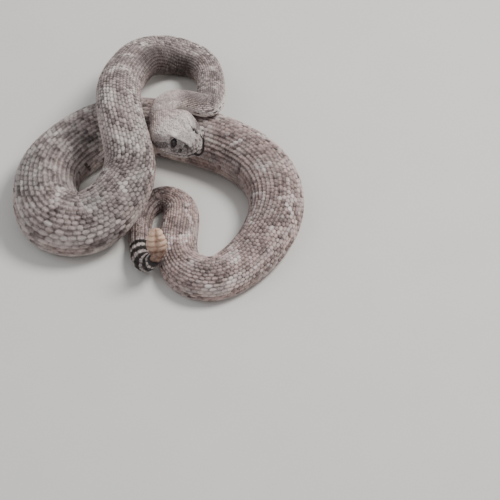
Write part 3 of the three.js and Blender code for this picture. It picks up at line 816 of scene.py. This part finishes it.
def dorsal_lattice(body, rng):
    """Root and place round the section of each scale of the back and flanks, and the rows' distance."""
    places = lengthwise_places(-1.5, body.length - 2.0, scale_pitch)
    step = 2 * DORSAL_REACH / DORSAL_ROWS
    index = np.arange(len(places))
    start, t = [], []
    for row in np.arange(DORSAL_ROWS) - DORSAL_ROWS // 2:
        s = np.interp(index + 0.5 * (row % 2), index, places)
        left_out = (places > VENT) & (row % 3 == 0) & (row != 0)
        keep = (s > 0.2) & (s < body.length - 0.9) & ~left_out
        start.append(s[keep])
        t.append(np.full(keep.sum(), row * step))
    start, t = np.concatenate(start), np.concatenate(t)
    start = start + rng.normal(0, 0.05, len(start)) * scale_pitch(start)
    t = t + rng.normal(0, 0.03, len(t)) * step
    order = np.argsort(start)
    return start[order], t[order], step


def unwrap(share, t, strip):
    """Where a place lies on the unwrap, from its share of the way along the head or the body."""
    return table_of(strip[0] + strip[1] * share, 0.005 + 0.99 * (t + 1) / 2)


def unwrap_head(x, t):
    return unwrap(1 - np.clip(x, 0, HEAD_LENGTH) / HEAD_LENGTH, t, HEAD_STRIP)


def coat_piece(name, slot, material, plates, points, marks, finish, root_uv):
    """One joined mesh of scales, with its markings and its bake map."""
    faces = [repeated(part, len(points), plates.size) for part in (plates.top, plates.under)]
    obj = mesh_object(name, material, points.reshape(-1, 3), *faces)
    marks = np.repeat(marks[:, None], plates.size, axis=1)
    marks[..., 0] *= 0.45 + 0.55 * smoothstep(plates.u, 0.3, 0.62)
    paint(obj, "marks", marks)
    finish = np.repeat(finish[:, None], plates.size, axis=1)
    finish[..., 0] *= plates.edge
    paint(obj, "finish", finish)
    local = table_of(plates.u - 0.5, plates.v * 0.5) * PATCH
    bake_map(obj, (root_uv[:, None] + local).reshape(-1, 2))
    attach(obj, "root")


def make_body_scales(body, rng, material):
    """The small keeled scales of the back and flanks, in pieces along the body."""
    start, t, step = dorsal_lattice(body, rng)
    n, pitch = len(start), scale_pitch(start)
    stretch = body.surface(np.minimum(start + MARKED_AT * pitch, body.length), t)[2]
    width = step * body.arc(start) * SCALE_WIDTH * rng.normal(1, 0.05, n)
    width = np.where(start > VENT, width * TAIL_SCALE_WIDTH, width)
    length = np.minimum(SCALE_LENGTH * pitch * rng.normal(1, 0.06, n), body.length - start)
    plates = Plates(POINTED)
    height = np.clip(stretch, 0.4, 1)[:, None]
    points = plates.lay(
        body.surface, body.arc, start, t, length, width,
        stretch=np.clip(stretch, 0.62, 1.1)[:, None], root=-skin_depth(start)[:, None] - 0.12, slope=0.085,
        dome=0.3 * height, keel=0.42 * height, drop=0.18, width_unit=3.4, thickness=0.3,
        skew=rng.normal(0, 0.03, (n, 1)),
    )
    luck = rng.random((n, 4))
    dark, pale = body_marks(start + MARKED_AT * length, t, luck)
    black, light = tail_rings(start + MARKED_AT * length, body.length)
    neck, flank = fade(start, 16, 48), np.abs(t)
    dark = dark * (1 - 0.7 * light) * (1 - 0.6 * neck)
    warm = np.clip(warmth(start) + 0.35 * smoothstep(flank, 0.25, 0.6), 0, 1) * (1 - light)
    marks = table_of(dark, np.maximum(pale, 0.15 * neck), warm, black)
    lines = (1 - 0.45 * smoothstep(flank, 0.3, 0.62)) * (1 - 0.35 * neck)
    finish = table_of(lines, luck[:, 3] * (1 - 0.7 * neck), 0, head_share(-start) + 0.4 * light)
    uv = unwrap(np.clip(start / body.length, 0, 1), t, BODY_STRIP)
    for i, (low, high) in enumerate(zip(COAT_CUTS, COAT_CUTS[1:])):
        chosen = (start >= low) & (start < high)
        slot = "tail_skin" if low >= VENT else "body_skin"
        parts = [part[chosen] for part in (points, marks, finish, uv)]
        coat_piece(f"scales_{i + 1}", slot, material, plates, *parts)


SCUTE_COLUMNS = 17
SCUTE_STATIONS = np.array([0, 0.3, 0.6, 0.85, 1.0])
SCUTE_OVERLAP = 1.45  # length of a scute, per distance between two
SCUTE_TIP = 0.95  # share of the length past which the plate thins out


def make_belly_scutes(body, rng, material):
    """Broad plates across the belly, each from one flank's scales to the other's."""
    places = lengthwise_places(2.0, body.length - 6.0, scale_pitch)
    n = len(places)
    across = np.linspace(-1, 1, SCUTE_COLUMNS)
    u, v = np.meshgrid(SCUTE_STATIONS, across, indexing="ij")
    length = SCUTE_OVERLAP * scale_pitch(places)[:, None, None]
    s = places[:, None, None] + length * u * (1 - 0.16 * np.abs(v) ** 4)
    t = np.broadcast_to(1 - (1 - DORSAL_REACH + 0.045) * v, s.shape)
    outer, normal, _ = body.surface(np.clip(s, 0, body.length), np.where(t > 1, t - 2, t))
    lift = 0.09 * u * length - SKIN_DEPTH - 0.1 - 0.1 * (u > SCUTE_TIP)
    outer = outer + normal * lift[..., None]
    inner = outer - normal * (0.22 * (0.15 + 0.85 * (u < SCUTE_TIP)))[..., None]
    points = np.stack([outer, inner], axis=1)
    points[..., 2] = np.maximum(points[..., 2], 0)

    top, rim = grid_quads(*u.shape), grid_border(*u.shape)
    following = np.roll(rim, -1)
    rim = table_of(rim, following, following + u.size, rim + u.size)
    one = np.concatenate([top[:, ::-1], top + u.size, rim])
    obj = mesh_object("belly_scutes", material, points.reshape(-1, 3), repeated(one, n, 2 * u.size))

    both_sides = lambda table: np.repeat(table[:, None], 2, axis=1)
    draws = rng.random((n, 4 + SCUTE_COLUMNS))
    dark = 0.35 * (draws[:, None, 4:] < 0.2 + 0.25 * across ** 2)
    black, light = tail_rings(s, body.length)
    warm = warmth(places)[:, None, None]
    paint(obj, "marks", both_sides(table_of(dark * (1 - light), np.maximum(0.35, 0.7 * light), warm, black)))
    paint(obj, "finish", both_sides(table_of(0.75 * smoothstep(u, 0.7, 1.0), draws[:, 3, None, None], 1, 0)))
    root = unwrap(places / body.length, 0.97, BODY_STRIP)
    bake_map(obj, both_sides(root[:, None, None] + table_of(u - 0.5, v * 0.5) * PATCH).reshape(-1, 2))
    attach(obj, "root")


def head_lattice(head, rng):
    """Roots of the small scales of the head, in rows across it, finer towards the snout."""
    start, t, size = [], [], []
    x = HEAD_LENGTH - 1.2
    while x > -1.0:
        pitch = float(1.55 + 1.3 * fade(x, 2, 44))
        row_step = 0.78 * pitch
        arc = float(head.arc(max(x, 0.0)))
        count = int(arc / row_step)
        j = np.arange(-count, count + 1)
        if len(start) % 2:
            j = j[:-1] + 0.5
        t.append(j * row_step / arc)
        start.append(np.full(len(j), x))
        size.append(np.full(len(j), pitch))
        x -= 0.62 * pitch
    start, t, size = map(np.concatenate, (start, t, size))
    start = start + rng.normal(0, 0.05, len(start)) * size
    t = np.clip(t + rng.normal(0, 0.004, len(t)), -0.995, 0.995)
    return start, t, size


def head_and_neck(head, body):
    """The head's surface, carried on over the neck for places behind the skull."""
    def surface(x, t):
        point, normal, stretch = head.surface(x, t)
        neck_point, neck_normal, _ = body.surface(np.maximum(-x, 0), t)
        behind = (x < 0)[..., None]
        return np.where(behind, neck_point, point), np.where(behind, neck_normal, normal), stretch

    return surface


def make_head_scales(head, body, rng, material):
    """The small scales of the crown, cheeks and throat, and of the neck just behind."""
    start, t, size = head_lattice(head, rng)
    middles = head.base(np.clip(start - MARKED_AT * size, 0, HEAD_LENGTH), t)
    x, y, z = middles.T
    on_side = np.abs(y) > 3
    near = lambda middle, reach: on_side & (np.hypot(x - middle[0], z - middle[1]) < reach)
    bare = on_side & (np.abs(z - head.mouth(x)) < 2.1) & (x > 13)
    bare |= near(EYE_MIDDLE, 3.3) & (z < 9.4) | near(PIT_MIDDLE, 1.9) | near(NOSTRIL_MIDDLE, 1.5)
    bare |= (np.hypot((x - BROW_AT[0]) / 5.0, (np.abs(y) - 6.0) / 2.4) < 1) & (z >= 8.5)
    start, t, size = start[~bare], t[~bare], size[~bare]
    n = len(start)
    length = HEAD_SCALE_LENGTH * size * rng.normal(1, 0.05, n)
    width = HEAD_SCALE_WIDTH * size * rng.normal(1, 0.05, n)
    plates = Plates(BLUNT)
    points = plates.lay(
        head_and_neck(head, body), head.arc, start, t, length, width, forward=-1,
        root=-HEAD_SKIN_DEPTH - 0.1, slope=0.1, dome=0.3, keel=0.05 + 0.2 * fade(start, 4, 26)[:, None],
        drop=0.16, width_unit=2.2, thickness=0.25,
    )
    luck = rng.random((n, 4))
    dark, pale = head_marks(middles[~bare], luck)
    marks = table_of(dark, pale, HEAD_WARMTH, 0)
    finish = table_of(1.0, luck[:, 3], 0, head_share(np.maximum(start, 0)))
    coat_piece("head_scales", "head_skin", material, plates, points, marks, finish, unwrap_head(start, t))


LIP_PLATE_PLACES = np.arange(49.0, 13.0, -2.75)
LIP_PLATE_LENGTH = 2.95
LIP_ROWS = ((1.35, 2.7), (-1.35, 2.5))  # middle above the mouth's line, and width


def lip_plates(head):
    """Root, place, length and width of the lip scales above and below the mouth, on both sides."""
    found = []
    for x in LIP_PLATE_PLACES:
        for above, width in LIP_ROWS:
            t = head.t_at_height(x - 1.3, float(head.mouth(x - 1.3)) + above)
            found += [(x, t, LIP_PLATE_LENGTH, width), (x, -t, LIP_PLATE_LENGTH, width)]
    return found


# Corners of the plates at the tip of the snout, seen from the front: y and z. The side ones are the left.
MIDDLE_SNOUT_PLATES = [
    [(-2.3, -2.3), (2.3, -2.3), (1.8, 1.8), (-1.8, 1.8)],
    [(-1.2, -5.0), (1.2, -5.0), (1.3, -3.4), (-1.3, -3.4)],
]
SIDE_SNOUT_PLATES = [
    [(0.1, 1.95), (2.0, 1.95), (2.7, 4.6), (0.1, 4.8)],
    [(0.1, 4.9), (2.75, 4.75), (3.2, 6.6), (0.1, 6.9)],
    [(2.1, 1.0), (4.9, 0.9), (5.2, 3.8), (2.85, 4.4)],
    [(2.5, -2.3), (6.4, -2.3), (5.8, 0.7), (2.1, 0.8)],
    [(1.4, -5.0), (4.6, -5.1), (5.8, -3.4), (1.5, -3.4)],
]


def snout_plates(head, plates):
    """Points of the plates round the tip of the snout, and the middle of each."""
    corners = MIDDLE_SNOUT_PLATES + SIDE_SNOUT_PLATES
    corners += [[(-y, z) for y, z in (b, a, d, c)] for a, b, c, d in SIDE_SNOUT_PLATES]
    u, v = plates.u[:, None], (plates.v[:, None] + 1) / 2
    rim = np.maximum(np.abs(2 * u - 1), np.abs(2 * v - 1))
    height = 0.3 * (1 - rim ** 2) - 0.2 * rim ** 8 - 0.3 * plates.low[:, None]
    found, middles = [], []
    for a, b, c, d in np.array(corners):
        point, normal = head.front_surface(*mix(mix(a, b, v), mix(d, c, v), u).T)
        found.append(HEAD_AT + (point + normal * height) @ HEAD_TURN.T)
        middles.append(point[plates.size // 2])
    return np.array(found), np.array(middles)


EYE_SHIELD = (39.8, 11.6, 4.6)  # root, length and width
EYE_SHIELD_SEAT = (34.0, 9.4)  # x and height in the section from which its place is taken


def make_head_plates(head, rng, material):
    """The large plates: lips, the shields over the eyes and the scales round the snout."""
    t = 0.8 * head.t_at_height(*EYE_SHIELD_SEAT)
    root, length, width = EYE_SHIELD
    found = lip_plates(head) + [(root, t, length, width), (root, -t, length, width)]
    start, t, length, width = np.array(found).T
    plates = Plates(LIP_SHAPE)
    points = plates.lay(
        head.surface, head.arc, start, t, length, width, forward=-1, root=-HEAD_SKIN_DEPTH - 0.02,
        slope=0.02, dome=0.3, keel=0.0, drop=0.2, width_unit=3.0, thickness=0.3,
    )
    front, front_middles = snout_plates(head, plates)
    middles = head.base(np.clip(start - 0.5 * length, 0, HEAD_LENGTH), t)
    middles = np.concatenate([middles, front_middles])
    luck = rng.random((len(middles), 4))
    dark, pale = head_marks(middles, luck)
    front_uv = table_of(0.003 + 0.0005 * front_middles[:, 2], 0.5 - 0.04 * front_middles[:, 1])
    coat_piece(
        "head_plates", "head_skin", material, plates, np.concatenate([points, front]),
        table_of(dark, pale, 0.25, 0), table_of(0.8, luck[:, 3], 0, 1),
        np.concatenate([unwrap_head(start, t), front_uv]),
    )


# Eyes, tongue and rattle

def make_eye(sign, material):
    """One eyeball with its slit pupil, turned outward and a little forward and up."""
    name = "eye_left" if sign > 0 else "eye_right"
    polar, turn = np.linspace(0.001, math.pi - 0.001, 40), np.arange(64) / 64 * 2 * math.pi
    p, a = np.meshgrid(polar, turn, indexing="ij")
    x, y, z = np.sin(p) * np.cos(a), np.cos(p), np.sin(p) * np.sin(a)
    radius = EYE_RADIUS * (1 + 0.035 * np.exp(-((p / 0.75) ** 4)))
    turned_out = rotation_about("z", -12) @ rotation_about("x", 10)
    local = (table_of(x, y, z) * radius[..., None]) @ turned_out.T + EYE_AT
    points = HEAD_AT + (local * (1, sign, 1)) @ HEAD_TURN.T
    quads = grid_quads(*p.shape, closed=True)[:, ::-sign]
    obj = mesh_object(f"{name}_ball", material, points.reshape(-1, 3), quads)
    slit = fade(np.hypot(x / 0.13, z / 0.62), 0.8, 1.1) * (y > 0)
    gleam = np.clip(np.hypot(x, z) * 1.4, 0, 1)
    paint(obj, "finish", table_of(slit, smoothstep(p, 0.75, 1.05), gleam, 0))
    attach(obj, "root")
    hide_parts(name)


def swept(route, half_widths, steps, flatness, sides=20):
    """Rings along a smooth line through places in the head's frame."""
    route = np.array(route, float)
    samples = spline_samples(route, unit(route[1] - route[0]), 12)
    reach = lengths_along(samples)
    at = lambda place: interpolate(place, reach, samples)
    place = np.linspace(0, reach[-1], steps)
    along = unit(at(place + 0.3) - at(place - 0.3))
    side = unit((0, 1, 0) - along * along[:, 1:2])
    half = np.interp(place / reach[-1], np.linspace(0, 1, len(half_widths)), half_widths)
    angle = (np.arange(sides) / sides * 2 * math.pi)[:, None]
    ring = side[:, None] * np.cos(angle) + np.cross(along, side)[:, None] * np.sin(angle) * flatness
    return at(place)[:, None] + ring * half[:, None, None]


def make_tongue(material):
    """A flat, forked tongue that leaves the lips and bends up in front of the snout."""
    parts = [closed_tube(swept(TONGUE_ROUTE, TONGUE_HALF_WIDTHS, 60, 0.7))]
    for sign in (1, -1):
        route = [(x, TINE_MIDDLE + y * sign, z) for x, y, z in TINE_ROUTE]
        parts.append(closed_tube(swept(route, TINE_HALF_WIDTHS, 26, 0.8)))
    before = np.cumsum([0] + [len(part[0]) for part in parts])
    points = HEAD_AT + np.concatenate([part[0] for part in parts]) @ HEAD_TURN.T
    faces = [np.concatenate([part[k] + n for part, n in zip(parts, before)]) for k in (1, 2)]
    obj = mesh_object("tongue_forked", material, points, *faces)
    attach(obj, "root")
    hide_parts("tongue")


RATTLE_SIDES = 72
RINGS_PER_SEGMENT = 16
SEGMENT_BODY = 0.94  # share of a segment's length that swells out
LOOSE_FROM = (6, 16)  # the segments are smooth below this stretch and loose above it
RATTLE_TIP = 0.9
RATTLE_TIP_SHARES = (0.93, 0.75, 0.42)  # width of the rings that close the tip


def make_rattle(body, material):
    """Horny segments, each tucked into the one before, with a groove down both broad sides."""
    width = profile(RATTLE_HALF_WIDTH)
    at, along, *_ = body.frame(np.array([body.length]))
    direction, upright = along[0], unit(np.array(RATTLE_TILT, float))
    middle = at[0] + direction * 0.15
    rows = RATTLE_SEGMENTS * RINGS_PER_SEGMENT
    step = RATTLE_LENGTH / rows
    angle = np.arange(RATTLE_SIDES) / RATTLE_SIDES * 2 * math.pi
    c, s = np.cos(angle), np.sin(angle)
    broad = np.sign(c) * np.abs(c) ** 0.9
    rings, masks = [], []
    for i in range(rows + 1):
        place, phase = step * i, i % RINGS_PER_SEGMENT / RINGS_PER_SEGMENT
        along = unit(mix(direction, upright, smoothstep(place, 0, RATTLE_BEND)))
        front = unit(np.cross(along, (1, 0, 0)))
        across = unit(np.cross(front, along))
        if i > 0:
            middle = middle + along * step
        swell = math.sin(math.pi * min(phase / SEGMENT_BODY, 1)) ** 0.6
        loose = smoothstep(place, *LOOSE_FROM)
        half = float(width(place)) * (0.99 - 0.06 * loose + (0.05 + 0.15 * loose) * swell)
        groove = 1 - (0.1 + 0.2 * smoothstep(place / RATTLE_LENGTH, 0.4, 0.8)) * hump(c, 0.24)
        deep = RATTLE_FLATNESS * groove * s
        rings.append(middle + np.outer(half * broad, across) + np.outer(half * deep, front))
        # darker at the narrow joins between segments: painted shade
        seam = (1 - swell) * (0.25 + 0.75 * loose)
        masks.append(table_of(seam, place / RATTLE_LENGTH, hump(c, 0.2), 0))
    tip = rings[-1].mean(0) + upright * RATTLE_TIP
    for k, share in enumerate(RATTLE_TIP_SHARES, 1):
        rings.append(mix(tip, rings[rows], share) + upright * 0.25 * k * (1 - share))
        masks.append(masks[-1])
    obj = mesh_object("rattle_string", material, *closed_tube(np.array(rings)))
    paint(obj, "finish", *masks, masks[0][0], masks[-1][0])
    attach(obj, "root")
    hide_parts("rattle")


# Materials

class Nodes:
    """Short calls for building one material's nodes."""

    def __init__(self, name):
        self.material = bpy.data.materials.new(name)
        self.material.use_nodes = True
        self.tree = self.material.node_tree
        self.shader = self.tree.nodes["Principled BSDF"]
        self.place = self.new("ShaderNodeTexCoord", {}).outputs["Object"]

    def new(self, kind, inputs, **settings):
        node = self.tree.nodes.new(kind)
        for key, value in settings.items():
            setattr(node, key, value)
        self.fill(node, inputs)
        return node

    def fill(self, node, inputs):
        """Each input is a number, a colour or an output of another node."""
        for key, value in inputs.items():
            if isinstance(value, bpy.types.NodeSocket):
                self.tree.links.new(value, node.inputs[key])
            else:
                node.inputs[key].default_value = value

    def layered(self, colour, *layers):
        """Colours laid over one another, each by its share."""
        for share, over in layers:
            inputs = {"Factor": share, "A": colour, "B": over}
            colour = self.new("ShaderNodeMix", inputs, data_type="RGBA").outputs["Result"]
        return colour

    def math(self, operation, a, b, clamp=False):
        return self.new("ShaderNodeMath", {0: a, 1: b}, operation=operation, use_clamp=clamp).outputs[0]

    def times(self, a, b, clamp=False):
        return self.math("MULTIPLY", a, b, clamp)

    def noise(self, scale, detail=3.0, roughness=0.55, distortion=0.0):
        inputs = {"Vector": self.place, "Scale": scale, "Detail": detail, "Roughness": roughness}
        inputs["Distortion"] = distortion
        return self.new("ShaderNodeTexNoise", inputs).outputs["Fac"]

    def span(self, value, low, high, to_low=0.0, to_high=1.0):
        inputs = {"Value": value, "From Min": low, "From Max": high, "To Min": to_low, "To Max": to_high}
        return self.new("ShaderNodeMapRange", inputs).outputs["Result"]

    def spots(self, scale, detail, roughness, *span):
        return self.span(self.noise(scale, detail, roughness), *span)

    def painted(self, name):
        node = self.new("ShaderNodeAttribute", {}, attribute_type="GEOMETRY", attribute_name=name)
        parts = self.new("ShaderNodeSeparateColor", {"Color": node.outputs["Color"]})
        return [*parts.outputs, node.outputs["Alpha"]]

    def bump(self, height, distance, strength):
        inputs = {"Strength": strength, "Distance": distance, "Height": height}
        self.fill(self.shader, {"Normal": self.new("ShaderNodeBump", inputs).outputs["Normal"]})

    def finish(self, colour, roughness, specular, **more):
        inputs = {"Base Color": colour, "Roughness": roughness, "Specular IOR Level": specular}
        inputs.update((key.replace("_", " "), value) for key, value in more.items())
        self.fill(self.shader, inputs)
        return self.material


# Spots: repeats per metre, detail and roughness, then the span of the noise and what it is turned into
BLUSH = (38, 2.0, 0.55, 0.35, 0.65, -0.25, 0.3)
PATCHES = (75, 3.0, 0.55, 0.42, 0.66, 0.0, 0.55)
MOTTLE = (190, 3.0, 0.6, 0.46, 0.62, 0.0, 0.42)
SPECKLE = (1100, 2.0, 0.6, 0.54, 0.64)
SPECKLED_PLACES = (150, 2.0, 0.55, 0.4, 0.6, 0.1, 0.6)
FLECKS = (1500, 1.0, 0.5, 0.6, 0.68, 0.0, 0.35)
UNEVEN_EDGES = (110, 2.0, 0.55, 0.4, 0.6, 0.65, 1.35)
HIDE_ROUGHNESS = (700, 3.0, 0.55, 0.3, 0.7, 0.5, 0.72)
WET_ROUGHNESS = (900, 3.0, 0.55, 0.3, 0.7, 0.14, 0.24)
MOIST_ROUGHNESS = (900, 3.0, 0.55, 0.3, 0.7, 0.3, 0.5)
HORN_ROUGHNESS = (500, 3.0, 0.55, 0.3, 0.7, 0.38, 0.6)
PAPER_ROUGHNESS = (60, 3.0, 0.55, 0.3, 0.7, 0.75, 0.9)
HORN_SPOTS = (210, 2.0, 0.55, 0.56, 0.66)


def hide_material(name, edge_strength):
    """Snake skin: ground colour, painted markings, fine speckle, dark skin and painted shade where scales
    meet.
    """
    n = Nodes(name)
    dark, pale, warm, black = n.painted("marks")
    edge, luck, underside, head = n.painted("finish")
    off_head = n.math("SUBTRACT", 1.0, head)
    flecks = n.times(n.spots(*FLECKS), n.math("SUBTRACT", 1.0, dark))
    # dark edges: skin between scales and painted shade at the roots, made uneven by spots
    border = n.times(n.math("POWER", n.math("MAXIMUM", edge, 0.0), 1.25), n.spots(*UNEVEN_EDGES))
    colour = n.layered(
        GREY_BROWN,
        (n.math("ADD", warm, n.spots(*BLUSH), clamp=True), PINK_BROWN),
        (head, HEAD_GREY),
        (underside, BELLY_CREAM),
        (n.times(n.spots(*PATCHES), off_head), DARK_BROWN),
        (n.times(n.spots(*MOTTLE), off_head), DARK_BROWN),
        (n.times(luck, 0.36), DARK_BROWN),
        # painted highlight along the keels
        (n.times(edge, -0.35, clamp=True), CREAM),
        (pale, CREAM),
        (dark, DARK_BROWN),
        (n.times(n.spots(*SPECKLE), n.spots(*SPECKLED_PLACES)), DARK_BROWN),
        (flecks, CREAM),
        (n.times(black, 0.97), RING_BLACK),
        (n.times(border, edge_strength, clamp=True), BETWEEN_SCALES),
    )
    n.bump(n.math("ADD", n.noise(1800, 4.0), n.times(n.noise(500, 2.0), 0.6)), 0.00025, 0.6)
    return n.finish(colour, n.spots(*HIDE_ROUGHNESS), 0.3)


def eye_material():
    n = Nodes("eye_wet")
    slit, rim, gleam, _ = n.painted("finish")
    colour = n.layered(
        IRIS_DARK, (n.noise(2400, 4.0, 0.7), IRIS_LIGHT), (n.times(gleam, 0.5), IRIS_RIM),
        (slit, PUPIL_BLACK), (rim, SOCKET_BROWN),
    )
    return n.finish(colour, n.spots(*WET_ROUGHNESS), 0.25, Coat_Weight=0.35, Coat_Roughness=0.04)


def tongue_material():
    n = Nodes("tongue_moist")
    n.bump(n.noise(1500), 0.0001, 0.5)
    colour = n.layered(TONGUE_BLACK, (n.noise(600), TONGUE_BROWN))
    return n.finish(colour, n.spots(*MOIST_ROUGHNESS), 0.4)


def rattle_material():
    n = Nodes("rattle_keratin")
    seam, place, groove, _ = n.painted("finish")
    streaks = n.span(n.noise(260, 4.0, 0.6, 0.4), 0.35, 0.7, 0.0, 0.4)
    colour = n.layered(
        HORN_BROWN,
        (n.span(place, 0.4, 0.76), HORN_PALE),
        (streaks, HORN_CREAM),
        (n.times(n.spots(*HORN_SPOTS), n.span(place, 0.55, 0.75, 0.0, 0.6)), HORN_BLOTCH),
        # painted shade in the joins between segments and down the groove
        (n.times(seam, 0.5), HORN_SEAM),
        (n.times(groove, n.span(place, 0.4, 0.7, 0.0, 0.5)), HORN_CREASE),
    )
    n.bump(n.math("ADD", n.noise(900, 4.0), n.times(n.noise(250), 0.7)), 0.0003, 0.5)
    return n.finish(
        colour, n.spots(*HORN_ROUGHNESS), 0.4,
        Subsurface_Weight=0.15, Subsurface_Radius=(0.003, 0.0016, 0.001),
    )


def floor_material():
    n = Nodes("floor_paper")
    n.bump(n.noise(400), 0.0002, 0.3)
    return n.finish(n.layered(FLOOR_DARK, (n.noise(14, 4.0), FLOOR_PALE)), n.spots(*PAPER_ROUGHNESS), 0.2)


# Stage, light and camera

FLOOR_HALF_WIDTH = 4000.0
# Place, width in metres, power and colour of each light; both point at the middle of the floor
LIGHTS = {
    "key": ((0.85, 0.3, 1.3), 0.6, 24, (1.0, 0.985, 0.96)),
    "fill": ((-0.9, -0.2, 1.3), 1.2, 3, (0.95, 0.97, 1.0)),
}
ROOM_COLOUR, ROOM_STRENGTH = (0.93, 0.96, 1.0, 1.0), 0.55
CAMERA_AT = (0.074, -1.3676, 1.5321)
CAMERA_TILT = 40  # degrees up from straight down
LENS = 180


def make_floor():
    corners = FLOOR_HALF_WIDTH * np.array([(-1, -1, 0), (1, -1, 0), (1, 1, 0), (-1, 1, 0)])
    mesh_object("floor", floor_material(), corners, [[0, 1, 2, 3]])


def soft_light(name, place, size, power, colour):
    light = bpy.data.lights.new(name, "AREA")
    light.shape = "DISK"
    light.size = size
    light.energy = power
    light.color = colour
    obj = bpy.data.objects.new(name, light)
    obj.location = place
    x, y, z = place
    obj.rotation_euler = (math.atan2(math.hypot(x, y), z), 0, math.atan2(-x, y) + math.pi)
    bpy.context.scene.collection.objects.link(obj)


def make_light():
    world = bpy.data.worlds.new("studio")
    world.use_nodes = True
    background = world.node_tree.nodes["Background"]
    background.inputs["Color"].default_value = ROOM_COLOUR
    background.inputs["Strength"].default_value = ROOM_STRENGTH
    bpy.context.scene.world = world
    for name, settings in LIGHTS.items():
        soft_light(name, *settings)


def make_camera():
    camera = bpy.data.cameras.new("camera")
    camera.lens = LENS
    camera.sensor_width = 36
    camera.clip_start, camera.clip_end = 0.05, 50
    obj = bpy.data.objects.new("camera", camera)
    obj.location = CAMERA_AT
    obj.rotation_euler = (math.radians(CAMERA_TILT), 0, 0)
    bpy.context.scene.collection.objects.link(obj)
    bpy.context.scene.camera = obj


def main():
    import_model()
    rng = np.random.default_rng(SEED)
    body, head = Body(), Head()
    skin = make_skin(body, head, hide_material("skin_hide", 0.9))
    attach(skin, "root")
    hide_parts(*FLESH_NODES)
    coat = hide_material("scale_hide", 1.0)
    make_body_scales(body, rng, coat)
    make_belly_scutes(body, rng, coat)
    make_head_scales(head, body, rng, coat)
    make_head_plates(head, rng, coat)
    eye = eye_material()
    make_eye(1, eye)
    make_eye(-1, eye)
    make_tongue(tongue_material())
    make_rattle(body, rattle_material())
    make_floor()
    make_light()
    make_camera()


main()
